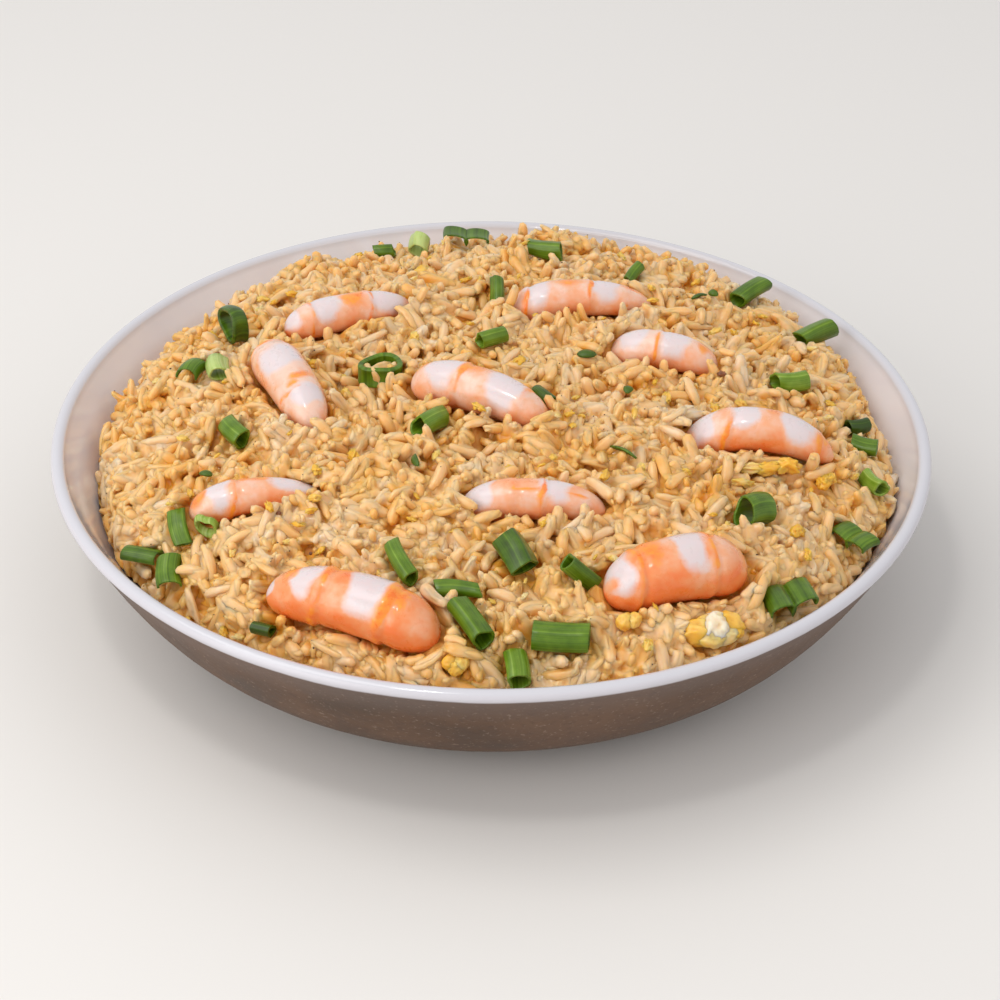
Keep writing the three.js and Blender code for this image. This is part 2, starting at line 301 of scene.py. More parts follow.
def glazeFinish():
    finish, tree, shader = newFinish(
        "whiteGlaze", (0.72, 0.69, 0.71), 0.16, **{"Coat Weight": 0.5, "Coat Roughness": 0.06, "IOR": 1.5})
    clouds = addNoise(tree, 28, 3)
    colour = addRamp(tree, clouds, [(0.3, (0.75, 0.74, 0.78)), (0.7, (0.78, 0.77, 0.81))])
    place = objectPlace(tree)
    height = addNode(tree, "ShaderNodeSeparateXYZ", links={"Vector": place}).outputs["Z"]
    lip = addRange(tree, height, (bowlShape["height"] - 2.5) * mm, (bowlShape["height"] - 0.5) * mm)
    colour = addMix(tree, lip, colour, (0.605, 0.59, 0.62))  # painted shade: the lip top is darkened, as it catches more light than the inner wall
    tree.links.new(colour, shader.inputs["Base Color"])
    addBump(tree, shader, addNoise(tree, 60, 2), 0.05, 0.0004)
    return finish


# Where the white glaze ends outside: lower at the front, nearly at the top of the lip at the back
bandShape = {"belowRim": 2.3, "backBelowRim": 0.4, "soft": 0.4, "waver": 0.45}


def stonewareFinish(band):
    finish, tree, shader = newFinish("speckledStoneware", (0.16, 0.10, 0.065), 0.5, **{"IOR": 1.42})
    mottle = addNoise(tree, 55, 5, 0.6)
    cloud = addNoise(tree, 14, 3)
    grain = addNoise(tree, 420, 4, 0.7)
    speck = addNoise(tree, 900, 2, 0.6)
    base = addRamp(tree, mottle, [(0.32, (0.064, 0.031, 0.0135)), (0.5, (0.099, 0.048, 0.022)),
                                  (0.68, (0.137, 0.072, 0.037))])
    base = addMix(tree, addRange(tree, cloud, 0.45, 0.7, 0, 0.5), base, (0.155, 0.085, 0.052))
    base = addMix(tree, addRange(tree, grain, 0.52, 0.75, 0, 0.6), base, (0.052, 0.026, 0.015))
    base = addMix(tree, addRange(tree, speck, 0.60, 0.72, 0, 0.5), base, (0.34, 0.25, 0.19))
    place = objectPlace(tree)
    axes = addNode(tree, "ShaderNodeSeparateXYZ", links={"Vector": place}).outputs
    waver = addRange(tree, addNoise(tree, 70, 2), 0, 1, -band["waver"] * mm, band["waver"] * mm)
    height = addMath(tree, "ADD", axes["Z"], waver)
    rise = (band["belowRim"] - band["backBelowRim"]) * mm
    height = addMath(tree, "SUBTRACT", height, addRange(tree, axes["Y"], -0.03, 0.04, 0, rise))
    edge = (bowlShape["height"] - band["belowRim"]) * mm
    white = addRange(tree, height, edge - band["soft"] * mm, edge + band["soft"] * mm)
    greyed = addRange(tree, height, edge - 10 * mm, edge, 0, 0.65)  # the glaze thins out below its edge
    base = addMix(tree, greyed, base, (0.160, 0.116, 0.098))
    tree.links.new(addMix(tree, white, base, (0.605, 0.58, 0.61)), shader.inputs["Base Color"])
    rough = addRange(tree, mottle, 0.3, 0.7, 0.44, 0.6)
    rough = addMath(tree, "MULTIPLY", rough, addRange(tree, white, 0, 1, 1, 0.4))
    tree.links.new(rough, shader.inputs["Roughness"])
    addBump(tree, shader, addMath(tree, "ADD", grain, mottle), 0.25, 0.0003)
    return finish


def dressBowl(bowl):
    bowl.data.materials.append(glazeFinish())
    bowl.data.materials.append(stonewareFinish(bandShape))
    for face in bowl.data.polygons:
        centre = face.center / mm
        radius, height = math.hypot(centre.x, centre.y), centre.z
        middle = (outerWall(height) + innerWall(height)) / 2
        outside = height < bowlShape["footHeight"] + 0.02 or radius > middle
        onLipTop = height > bowlShape["height"] - 0.6
        face.material_index = 1 if outside and not onLipTop else 0


# The heap

heapShape = {
    "radius": 99.5, "shift": 2, "edgeHeight": 36, "crown": 54, "fullness": 3, "edgeSlope": 2,
    "backRise": 3.5, "swellHeight": 0.8, "swellLength": 12, "edgeWander": 1.3,
    "clusters": [  # x, y, radius, height
        (19, 82, 9, 3.5), (52, 71, 9, 3.5), (-52, 74, 10, 2), (-71, 58, 9, 2.5), (88, 34, 10, 2.5),
        (2, 62, 11, 1.5), (-12, -32, 12, 1.5), (38, -6, 12, 1.5),
    ],
}


def heapHeight(x, y):
    shape = heapShape
    angle = np.arctan2(y, x - shape["shift"])
    wander = np.sin(3 * angle + 1) + 0.7 * np.sin(8 * angle) + 0.5 * np.cos(13 * angle)
    wander = shape["edgeWander"] * wander
    reach = np.hypot(x - shape["shift"], y) + wander
    dome = np.sqrt(np.maximum(0, 1 - (reach / shape["radius"]) ** shape["fullness"]))
    length = shape["swellLength"]
    swell = np.sin(x / length + 1) * np.cos(y / length) + 0.6 * np.sin((x - y) / (length / 2))
    height = shape["edgeHeight"] + (shape["crown"] - shape["edgeHeight"]) * dome
    height = height + shape["swellHeight"] * swell * dome
    height = height + shape["backRise"] * np.maximum(0, y / shape["radius"])
    for centreX, centreY, radius, rise in shape["clusters"]:
        height = height + rise * np.exp(-((x - centreX) ** 2 + (y - centreY) ** 2) / radius ** 2)
    return height - shape["edgeSlope"] * np.maximum(0, reach - shape["radius"])


def heapNormal(x, y):
    step = 0.8
    slopeX = (heapHeight(x + step, y) - heapHeight(x - step, y)) / (2 * step)
    slopeY = (heapHeight(x, y + step) - heapHeight(x, y - step)) / (2 * step)
    normal = np.stack([-slopeX, -slopeY, np.ones_like(slopeX)], -1)
    return normal / np.linalg.norm(normal, axis=-1, keepdims=True)


# Toppings: places on the heap, in mm and degrees

def namedRows(columns, rows):  # a table's rows as dictionaries; what a row has beyond its columns comes last
    return {name: {**dict(zip(columns, row)), **dict(row[len(columns):])} for name, row in rows.items()}


# How far each narrows to its right end, and how much more orange than most it is, come last
shrimpShapes = namedRows(("x", "y", "turn", "length", "width", "arch", "lift", "taper", "warm"), {
    "back_left": (-38, 34.5, 23, 35, 11.5, 2, 2, 0.2, -0.04),
    "left": (-50.5, 0.5, -66, 38, 15, 2.5, 3, 0.2, -0.1),
    "middle": (-3, -6.5, -28, 38, 14, 3, 3, 0.2, -0.06),
    "back_right": (23, 42, 5, 38, 13, 3, 2.5, 0.35, -0.04),
    "right_upper": (44, 18, -14, 28, 12, 2.5, 2, 0.2, -0.09),
    "right": (65, -20, -8, 37, 13, 6, 4, 0.2, 0.02),
    "front_left": (-55, -44, 13, 32, 11, 3, 1.5, 0.35, 0.04),
    "front_middle": (10, -48, -1, 34, 11.5, 3, 1.5, 0.2, 0),
    "near_left": (-30.3, -82, -22, 42, 14, 3.5, 3.5, -0.15, 0.2),
    "near_right": (42, -72, 18, 34, 15.5, 3, 3.5, -0.1, 0.15),
})

# How green each is comes last, 0 dark to 1 pale, and for the two pieces marked below it also paints shade or
# sheen; then comes what is unusual: how flat it is, its wall, its form when it is no tube, and how far one
# end is pinched
scallionShapes = namedRows(("x", "y", "turn", "tilt", "length", "width", "lift", "tone"), {
    "far_small": (-31, 82, 10, 0, 6, 4.5, 1, 0.3),
    "far_pale": (-21, 83, 80, 35, 5, 7.5, 1.5, 0.95),
    "far_curl": (-8, 84, 0, 0, 12, 6, 2.5, 0.2, ("flat", 0.8), ("form", "folded")),
    "far_tube": (14, 73, -18, 0, 10, 6, 0.5, 0.35, ("pinch", 0.3)),
    "far_right_small": (38, 61, 55, 20, 7, 4.5, 1.5, 0.35),
    "far_right": (70, 59, 38, 12, 10.5, 6.5, 2, 0.3),
    "right_back": (86, 41, 28, 8, 10.5, 7, 2, 0.35, ("pinch", 0.2)),
    "right_inner": (76, 10, 10, 0, 8.5, 6.5, 1.5, 0.5),
    # painted shade: this piece lies in shadow by the wall, and its tone of 0.0 paints that shade into its
    # green
    "right_edge_dark": (92, -2, 15, 0, 6, 5, 0.5, 0.0),
    "right_edge": (92.5, -12, -25, 0, 7, 5.5, 1.5, 0.3),
    "right_edge_pale": (92.8, -27, -60, 0, 7, 5.8, 1.5, 0.65),
    "right_fold": (86, -46.5, -48, 0, 10, 6.5, 1.5, 0.3, ("flat", 0.85), ("form", "folded")),
    "right_open": (62, -47, 38, -15, 8, 8.5, 1, 0.3),
    "near_right_curl": (68, -72, 15, 0, 11.5, 8.5, 1.5, 0.25, ("flat", 0.9), ("form", "folded")),
    "near_tube": (20.5, -74, 8, -46, 9.5, 6, 2, 0.25),
    "near_middle": (6, -68, -65, -10, 11, 8.5, 1.5, 0.15, ("pinch", 0.25)),
    "near_front": (16, -90, -4, 0, 13, 7.5, 1.5, 0.3),
    # painted highlight: this piece's tone of 0.5, paler than most, paints the sheen on its top into its green
    "near_front_pale": (6.5, -96, -82, -15, 8, 7, 1, 0.5),
    "near_long": (-20, -70, -66, -10, 12.5, 5.5, 1.5, 0.4, ("pinch", 0.3)),
    "near_cross": (-7, -78, -3, 0, 10.5, 5.5, 0.5, 0.35, ("flat", 0.9), ("pinch", 0.2)),
    "near_open": (-3.8, -88, -58, -12, 12, 7, 1.5, 0.3),
    "near_left_small": (-50.5, -81.5, -20, 0, 5, 4, 1, 0.1),
    "left_upright": (-72.5, -51.5, 108, 30, 9.5, 5.5, 1.5, 0.35, ("flat", 0.8), ("pinch", 0.3)),
    "left_thin_ring": (-66, -52, 80, 25, 2.5, 6, 1.5, 0.75, ("wall", 0.6), ("form", "heart")),
    "left_edge": (-81, -54.5, -15, 0, 9, 5, 0.5, 0.25, ("flat", 0.8), ("form", "arch")),
    "left_arch": (-74, -62, 95, 20, 8.5, 6, 1.5, 0.35, ("flat", 0.8), ("form", "arch")),
    "left_middle": (-63, -18, -56, 0, 9, 6.5, 1.5, 0.4),
    "left_dark": (-77, 13, 68, 0, 6.5, 6, 1.5, 0.3, ("flat", 0.8), ("form", "arch")),
    "left_pale": (-70, 12, -78, 0, 8, 6.6, 2, 0.9, ("flat", 0.9)),
    "left_ring": (-68, 33, 42, -12, 5, 11.5, 3.5, 0.15, ("wall", 1.1), ("form", "ring")),
    "middle_ring": (-28, 8, 90, 82, 5, 12.5, 1, 0.3, ("wall", 1.3), ("form", "ring")),
    "middle_tube": (-14.8, -18.3, 55, -10, 10, 6.5, 1.5, 0.45),
    "middle_strip": (13, -5, -55, 0, 8, 4, 1, 0.15, ("form", "crescent")),
    "upper_small": (0, 22, 30, 0, 8, 5, 1.5, 0.45),
    "upper_upright": (1, 46, 90, 38, 9, 5, 2, 0.35, ("pinch", 0.2)),
})

eggShapes = namedRows(("x", "y", "turn", "length", "width", "height", "lift", "seed", "crumple"), {
    "near_curd": (50, -84.5, 15, 13, 8.5, 9, 1.5, 3, 0.34),
    "near_bit": (31, -85, 18, 6.5, 5, 5, 0.5, 5, 0.34),
    "near_left_curd": (-7, -96, 5, 6.5, 5, 6, 0.5, 8, 0.34),
    "right_strip": (65, -30.5, 5, 24, 3.5, 4, 1, 12, 0.75),
    "right_flake": (81, -30, 40, 7, 4.5, 4, 0.5, 14, 0.6),
})


def placeOf(shape):  # a piece made along X, turned and set down on the heap
    x, y = shape["x"], shape["y"]
    middle = Vector((x, y, float(heapHeight(x, y)) + shape["lift"]))
    turn = Matrix.Rotation(math.radians(shape.get("turn", 0)), 4, "Z")
    tilt = Matrix.Rotation(-math.radians(shape.get("tilt", 0)), 4, "Y")
    roll = Matrix.Rotation(math.radians(shape.get("roll", 0)), 4, "X")
    return Matrix.Translation(middle * mm) @ turn @ tilt @ roll


def setDown(piece, shape):
    piece.matrix_world = placeOf(shape)
    applyPlace(piece)


# Shrimp

shrimpDetail = {
    "around": 40, "along": 60, "bluntness": 4, "body": 0.92, "segmentStep": 0.06, "stepSlant": 0.05,
    "stepRise": (-0.14, -0.02), "stepFall": (-0.01, 0.03), "waist": 0.05, "waistPlace": 0.045,
    "waistLength": 0.04, "uneven": 0.014, "markWobble": 0.03, "bandBefore": 2.2, "bandAfter": 0.5,
}


def shrimpFullness(along, taper):
    blunt = np.sqrt(np.maximum(0, 1 - np.abs(along) ** shrimpDetail["bluntness"]))
    return blunt * (1 - taper * (along + 1) / 2)


# Where each shrimp is marked: along runs -1..1, side is degrees from the back's ridge (plus is the far side)
shrimpMarks = {
    "back_left": {"bands": [(-0.62, 0.03, 0.9), (0.3, 0.03, 1.0)],
                  "whites": [(-0.38, 0.2, -5, 60), (0.6, 0.26, -10, 70), (-0.9, 0.12, 0, 60)],
                  "marks": [(0.08, 0.2, -10, 60)]},
    "left": {"bands": [(-0.78, 0.025, 0.9), (0.5, 0.02, 0.5)],
             "whites": [(-0.97, 0.12, 0, 90), (-0.2, 0.27, -12, 45), (0.64, 0.15, 5, 40)],
             "marks": [(0.32, 0.1, 10, 42), (0.42, 0.07, -22, 20)]},
    "middle": {"bands": [(-0.24, 0.03, 0.8), (0.66, 0.025, 0.5)],
               "whites": [(-0.5, 0.22, 0, 60), (0.4, 0.24, -15, 55)],
               "marks": [(-0.06, 0.15, 20, 45), (-0.85, 0.1, 20, 40)]},
    "back_right": {"bands": [(-0.78, 0.03, 1.0), (0.1, 0.025, 0.9), (0.62, 0.02, 0.6)],
                   "whites": [(-0.6, 0.17, 0, 60), (0.32, 0.2, 0, 60)],
                   "marks": [(-0.15, 0.2, 10, 40), (0.75, 0.2, 5, 16)]},
    "right_upper": {"bands": [(-0.12, 0.03, 0.8)],
                    "whites": [(-0.6, 0.25, 10, 55), (0.2, 0.25, -10, 60)],
                    "marks": [(0.75, 0.15, 0, 40)]},
    "right": {"bands": [(-0.42, 0.03, 0.9), (0.78, 0.03, 0.9)],
              "whites": [(-0.75, 0.15, 0, 70), (-0.2, 0.18, 0, 40), (0.5, 0.2, 0, 60)],
              "marks": [(0.15, 0.12, 20, 30), (0.9, 0.1, 0, 60)]},
    "front_left": {"bands": [(-0.35, 0.03, 0.9)],
                   "whites": [(-0.55, 0.15, 0, 70), (0.55, 0.35, 10, 40)],
                   "marks": [(-0.85, 0.12, 0, 60), (0.05, 0.16, 12, 16), (-0.15, 0.1, 15, 14)]},
    "front_middle": {"bands": [(-0.3, 0.02, 0.5), (0.12, 0.03, 0.9)],
                     "whites": [(-0.75, 0.2, 0, 60), (0.3, 0.2, 0, 55)],
                     "marks": [(-0.1, 0.35, -29, 8), (0.6, 0.22, -29, 8)]},
    "near_left": {"bands": [(-0.3, 0.035, 1.0), (0.45, 0.035, 1.0)],
                  "whites": [(-0.5, 0.15, -5, 45), (0.22, 0.22, 0, 55), (-0.96, 0.06, 0, 80)],
                  "marks": [(-0.15, 0.12, 25, 25), (0.6, 0.12, 0, 50), (-0.72, 0.1, 10, 50)]},
    "near_right": {"bands": [(-0.6, 0.035, 1.0), (0.42, 0.03, 0.6)],
                   "whites": [(-0.8, 0.14, 0, 60), (0.15, 0.22, -5, 45)],
                   "marks": [(-0.38, 0.2, 5, 50), (0.5, 0.12, 25, 30)]},
}


def shrimpBody(name, shape):
    detail = shrimpDetail
    shrimp, points, along, ring = ringBall("shrimp_" + name, detail["around"], detail["along"])
    side = np.degrees(np.arctan2(points[:, 1], points[:, 2]))
    marks = shrimpMarks[name]

    def pastRing(place):  # how far each point lies past a ring, whose edge leans back at the sides
        return along - place - detail["stepSlant"] * np.cos(np.radians(side))

    fullness = shrimpFullness(along, shape["taper"]) * detail["body"]
    for place, width, strength in marks["bands"]:  # each ring of the body stands a little proud of the next
        past = pastRing(place)
        rise = smoothStep(*detail["stepRise"], past)
        fall = 1 - smoothStep(*detail["stepFall"], past)
        fullness = fullness * (1 + detail["segmentStep"] * strength * rise * fall)
        narrow = np.exp(-((past - detail["waistPlace"]) / detail["waistLength"]) ** 2)
        fullness = fullness * (1 - detail["waist"] * strength * narrow)
    waves = detail["uneven"] * np.sin(along * 9 + points[:, 1] * 4) * np.cos(points[:, 2] * 5)
    fullness = fullness * (1 + waves)
    reach = fullness / np.maximum(ring, 1e-6) * (ring > 1e-6) * shape["width"] / 2
    shaped = np.stack([
        along * shape["length"] / 2,
        points[:, 1] * reach,
        points[:, 2] * reach - shape["arch"] * along ** 2,
    ], -1)
    setPoints(shrimp.data, shaped * mm)

    orange = np.full(len(points), -1.0)
    white = np.full(len(points), -1.0)
    wobble = detail["markWobble"] * np.sin(np.radians(side) * 3 + along * 7)
    for place, halfLength, centreSide, halfSide in marks["whites"]:
        ragged = wobble + 0.02 * np.sin(np.radians(side) * 5 + place * 30) + 0.012 * np.sin(along * 23)
        away = np.abs((along - place + ragged) / halfLength) ** 2.6
        away = away + np.abs((side - centreSide + ragged * 70) / (halfSide + 12)) ** 2.6
        white = np.maximum(white, 1.4 - away)
    for place, halfLength, centreSide, halfSide in marks["marks"]:
        away = ((along - place - wobble) / halfLength) ** 2 + ((side - centreSide) / halfSide) ** 2
        orange = np.maximum(orange, 1.1 - away)
    for place, width, strength in marks["bands"]:  # sharp past the ring's edge, fading out before it
        past = pastRing(place) - wobble * 0.5
        before, after = width * detail["bandBefore"], width * detail["bandAfter"]
        edge = np.where(past < 0, np.exp(past / before), np.exp(-past / after))
        uneven = 0.72 + 0.28 * np.sin(np.radians(side) * 2 + place * 20)
        orange = np.maximum(orange, strength * (3.2 * edge * uneven - 0.7))
    addNumber(shrimp.data, "orange", np.clip(orange, -1, 2))
    addNumber(shrimp.data, "white", np.clip(white, -1, 2))
    # painted light and shade: 'low' is used to make the upper side, turned a little towards the near side,
    # paler and the underside deeper orange
    addNumber(shrimp.data, "low", np.clip(-np.cos(np.radians(side + 20)), -1, 1))
    addNumber(shrimp.data, "warm", np.full(len(points), shape["warm"]))
    bpy.ops.object.shade_smooth()
    setDown(shrimp, shape)
    return shrimp


def shrimpFinish():
    finish, tree, shader = newFinish(
        "cookedShrimp", (0.86, 0.46, 0.27), 0.3,
        **{"IOR": 1.4, "Coat Weight": 0.5, "Coat Roughness": 0.1, "Subsurface Weight": 0.5,
           "Subsurface Scale": 0.0018, "Subsurface Radius": (1.0, 0.5, 0.4)})
    fibre = addNoise(tree, 420, 4, 0.65)
    blotch = addNoise(tree, 130, 3, 0.6)
    # painted light and shade: the top is made paler and the underside deeper orange
    amount = addMath(tree, "ADD", blotch, addRange(tree, readNumber(tree, "low"), -1, 0.5, 0.14, -0.2))
    amount = addMath(tree, "SUBTRACT", amount, readNumber(tree, "warm"))
    flesh = addRamp(tree, amount, [(0.24, (0.84, 0.20, 0.04)), (0.38, (0.84, 0.29, 0.10)),
                                   (0.54, (0.84, 0.41, 0.225)), (0.74, (0.83, 0.565, 0.44))])
    patches = addRange(tree, blotch, 0.3, 0.7, -0.25, 0.25)
    whiteAmount = addMath(tree, "ADD", readNumber(tree, "white"), patches)
    whiteAmount = addMath(tree, "ADD", whiteAmount, addRange(tree, fibre, 0.2, 0.8, -0.2, 0.2))
    flesh = addMix(tree, addRange(tree, whiteAmount, -0.15, 0.85, 0, 0.93), flesh, (0.71, 0.625, 0.63))
    streaks = addRange(tree, fibre, 0.2, 0.8, -0.5, 0.5)
    orangeAmount = addMath(tree, "ADD", readNumber(tree, "orange"), streaks)
    orangeAmount = addMath(tree, "ADD", orangeAmount, addRange(tree, blotch, 0.3, 0.7, -0.35, 0.35))
    strongOrange = addRamp(tree, fibre, [(0.35, (0.87, 0.18, 0.006)), (0.65, (0.90, 0.34, 0.02))])
    flesh = addMix(tree, addRange(tree, orangeAmount, 0.1, 0.95, 0, 0.92), flesh, strongOrange)
    tree.links.new(flesh, shader.inputs["Base Color"])
    tree.links.new(addRange(tree, fibre, 0.3, 0.7, 0.22, 0.4), shader.inputs["Roughness"])
    addBump(tree, shader, fibre, 0.07, 0.0002)
    return finish


# Scallions

closedForms = ("tube", "ring", "heart")
scallionDetail = {"around": 32, "rows": 7, "wall": 0.65, "openWall": 0.6, "uneven": 0.1, "slantedCut": 0.28,
                  "sag": 0.6, "facets": 0.42, "softCut": 0.16}


def scallionOutline(form, turn, random):  # the cut end, one unit in radius; -X is up, turn runs round
    if form == "arch":
        return -np.cos(turn * 0.6), np.sin(turn * 0.6)
    if form == "crescent":
        return 0.7 - 1.3 * np.cos(turn * 0.42), 1.1 * np.sin(turn * 0.42)
    if form == "folded":  # two humps side by side, one loop nearly closed
        up = 0.55 - 1.35 * np.abs(np.sin(turn * 0.97)) + 0.2 * np.cos(turn * 0.5)
        return up, turn / math.pi - 0.32 * np.sin(2 * turn)
    reach = 1 + scallionDetail["uneven"] * (np.cos(2 * turn + random.uniform(0, 6))
                                            + 0.9 * np.cos(3 * turn + random.uniform(0, 6)))
    sides = random.integers(4, 7)
    sector = 2 * math.pi / sides
    facet = math.cos(sector / 2) / np.cos((turn + random.uniform(0, 6)) % sector - sector / 2)
    if form == "tube":
        reach = reach * (1 - scallionDetail["facets"] * (1 - facet))
    if form == "heart":
        reach = 1 - 0.34 * np.exp(-((np.abs(turn) - math.pi) / 0.5) ** 2)
    reach = reach / reach.max()
    return reach * np.cos(turn), reach * np.sin(turn)


def scallionPiece(name, shape, seed):
    detail = scallionDetail
    random = np.random.default_rng(seed)
    form = shape.get("form", "tube")
    length, radius = shape["length"], shape["width"] / 2
    halfAcross = radius
    if form == "folded":  # this one runs across its place, and the leaf is folded along it
        length, halfAcross = shape["width"], shape["length"] / 2
    wall = shape.get("wall", detail["wall"] if form in closedForms else detail["openWall"])
    deselectAll()
    bpy.ops.mesh.primitive_circle_add(vertices=detail["around"], radius=1, location=(0, 0, -0.5))
    piece = bpy.context.object
    piece.name = "scallion_" + name
    applyPlace(piece)
    first = getPoints(piece.data)
    seam = first[:, 1].argmin()  # an open leaf is cut through here
    bpy.ops.object.mode_set(mode="EDIT")
    bpy.ops.mesh.select_all(action="SELECT")
    for row in range(detail["rows"]):
        bpy.ops.mesh.extrude_region_move(TRANSFORM_OT_translate={"value": (0, 0, 1 / detail["rows"])})
    bpy.ops.mesh.select_all(action="SELECT")
    bpy.ops.mesh.normals_make_consistent(inside=False)
    bpy.ops.object.mode_set(mode="OBJECT")
    if form not in closedForms:
        seamX, seamY = first[seam, 0], first[seam, 1]
        for vertex in piece.data.vertices:
            vertex.select = math.hypot(vertex.co.x - seamX, vertex.co.y - seamY) < 0.01
        for element in list(piece.data.edges) + list(piece.data.polygons):
            element.select = False
        bpy.ops.object.mode_set(mode="EDIT")
        bpy.ops.mesh.delete(type="VERT")
        bpy.ops.object.mode_set(mode="OBJECT")
    points = getPoints(piece.data)
    if form in closedForms:
        turn = np.arctan2(points[:, 1], points[:, 0])
    else:
        turn = np.arctan2(points[:, 0], points[:, 1])  # the seam lies at plus and minus half a turn
    along = points[:, 2] * 2
    up, across = scallionOutline(form, turn, random)
    inset = 1 - (wall * 0.15) / radius
    pinch = 1 - shape.get("pinch", 0) * smoothStep(-0.4, 1, along * random.choice([-1, 1]))
    slant = random.uniform(-1, 1, 2) * detail["slantedCut"]
    points[:, 0] = up * radius * inset * pinch + detail["sag"] * random.uniform(-1, 1) * (along ** 2 - 0.4)
    points[:, 1] = across * halfAcross * inset + detail["sag"] * random.uniform(-1, 1) * (along ** 2 - 0.4)
    points[:, 2] = along * (length / 2 - 0.25) + slant[0] * points[:, 0] + slant[1] * points[:, 1]
    setPoints(piece.data, points * mm)
    addNumber(piece.data, "around", turn / math.pi)
    addNumber(piece.data, "tone", np.full(len(points), shape["tone"]))
    thicken = piece.modifiers.new("wall", "SOLIDIFY")
    thicken.thickness = wall * mm
    thicken.offset = -1
    thicken.material_offset = 1
    thicken.material_offset_rim = 2
    thicken.use_even_offset = form in closedForms
    soften = piece.modifiers.new("softCut", "BEVEL")
    soften.width = detail["softCut"] * mm
    soften.segments = 2
    soften.limit_method = "ANGLE"
    soften.angle_limit = math.radians(50)
    applyModifiers(piece)
    piece.scale = (shape.get("flat", 1), 1, 1)
    piece.rotation_euler = (0, math.radians(90), 0)
    applyPlace(piece)
    if form == "folded":
        piece.rotation_euler = (0, 0, math.radians(-90))
        applyPlace(piece)
    bpy.ops.object.shade_smooth_by_angle(angle=math.radians(55))
    setDown(piece, shape)
    return piece


def greenFinish(name, roughness, stops, striped, **values):
    finish, tree, shader = newFinish(name, stops[1][1], roughness, IOR=1.4, **values)
    amount = addMath(tree, "ADD", readNumber(tree, "tone"),
                     addRange(tree, addNoise(tree, 260, 3), 0.3, 0.7, -0.12, 0.12))
    if striped:
        stripes = addNode(tree, "ShaderNodeTexNoise", {"noise_dimensions": "1D"}, Scale=11, Detail=3)
        tree.links.new(readNumber(tree, "around"), stripes.inputs["W"])
        amount = addMath(tree, "ADD", amount, addRange(tree, stripes.outputs["Fac"], 0.3, 0.7, -0.16, 0.2))
        addBump(tree, shader, stripes.outputs["Fac"], 0.25, 0.0003)
    amount = addMath(tree, "ADD", amount, 0, clamp=True)
    tree.links.new(addRamp(tree, amount, stops), shader.inputs["Base Color"])
    return finish


def scallionSkinFinish():
    return greenFinish(
        "scallionSkin", 0.34,
        [(0.0, (0.028, 0.060, 0.001)), (0.25, (0.068, 0.138, 0.002)), (0.5, (0.13, 0.23, 0.009)),
         (0.75, (0.25, 0.37, 0.045)), (1.0, (0.46, 0.56, 0.18))],
        True, **{"Coat Weight": 0.14, "Coat Roughness": 0.18,
                 "Subsurface Weight": 0.06, "Subsurface Scale": 0.001})


def scallionInsideFinish():
    return greenFinish(
        "scallionInside", 0.45,
        [(0.0, (0.05, 0.10, 0.004)), (0.4, (0.15, 0.25, 0.025)), (1.0, (0.52, 0.61, 0.29))],
        False, **{"Subsurface Weight": 0.06, "Subsurface Scale": 0.001})


def scallionCutFinish():
    return greenFinish(
        "scallionCut", 0.4,
        [(0.0, (0.10, 0.18, 0.015)), (0.4, (0.27, 0.38, 0.09)), (1.0, (0.66, 0.72, 0.46))],
        False, **{"Coat Weight": 0.2, "Subsurface Weight": 0.1, "Subsurface Scale": 0.001})


# Thin slips of scallion among the grains: x, y, turn, length
slipSettings = {"thickness": 0.5, "widths": (1.0, 1.5), "tones": (0.1, 0.35), "roll": 50, "lift": 1.7,
                "seed": 31}
slipShapes = [
    (24, 14, 0, 5), (32, -29, -40, 8), (-18, -36, -75, 5), (-9, -52, -50, 3), (-68, -34, -20, 3.5),
    (55, 49, 30, 5), (59, 52, -30, 3), (34, -2, 70, 3.5),
]


def scallionSlips(finish):
    settings = slipSettings
    random = np.random.default_rng(settings["seed"])
    slips = []
    for x, y, turn, length in slipShapes:
        deselectAll()
        bpy.ops.mesh.primitive_grid_add(x_subdivisions=10, y_subdivisions=4, size=2)
        slip = bpy.context.object
        points = getPoints(slip.data)
        tip = np.sqrt(np.maximum(0.03, 1 - points[:, 0] ** 2))
        points[:, 1] *= tip * random.uniform(*settings["widths"])
        points[:, 2] = 0.5 * np.cos(points[:, 1] * 1.2) - 0.9 * points[:, 0] ** 2
        points[:, 0] *= length / 2
        setPoints(slip.data, points * mm)
        addNumber(slip.data, "around", points[:, 1])
        addNumber(slip.data, "tone", np.full(len(points), random.uniform(*settings["tones"])))
        thicken = slip.modifiers.new("leaf", "SOLIDIFY")
        thicken.thickness = settings["thickness"] * mm
        applyModifiers(slip)
        roll = random.uniform(-settings["roll"], settings["roll"])
        setDown(slip, {"x": x, "y": y, "turn": turn, "roll": roll, "lift": settings["lift"]})
        slips.append(slip)
    return joinPieces("scallionSlips", slips, finish)


# Egg

eggDetail = {"subdivisions": 4, "foldSize": 0.95, "lobeSize": 1.15, "lobeSpread": 0.85, "sway": 0.12}
foldShape = {"detail": 3, "falloff": 0.55, "finer": 2.1, "swell": 0.3}

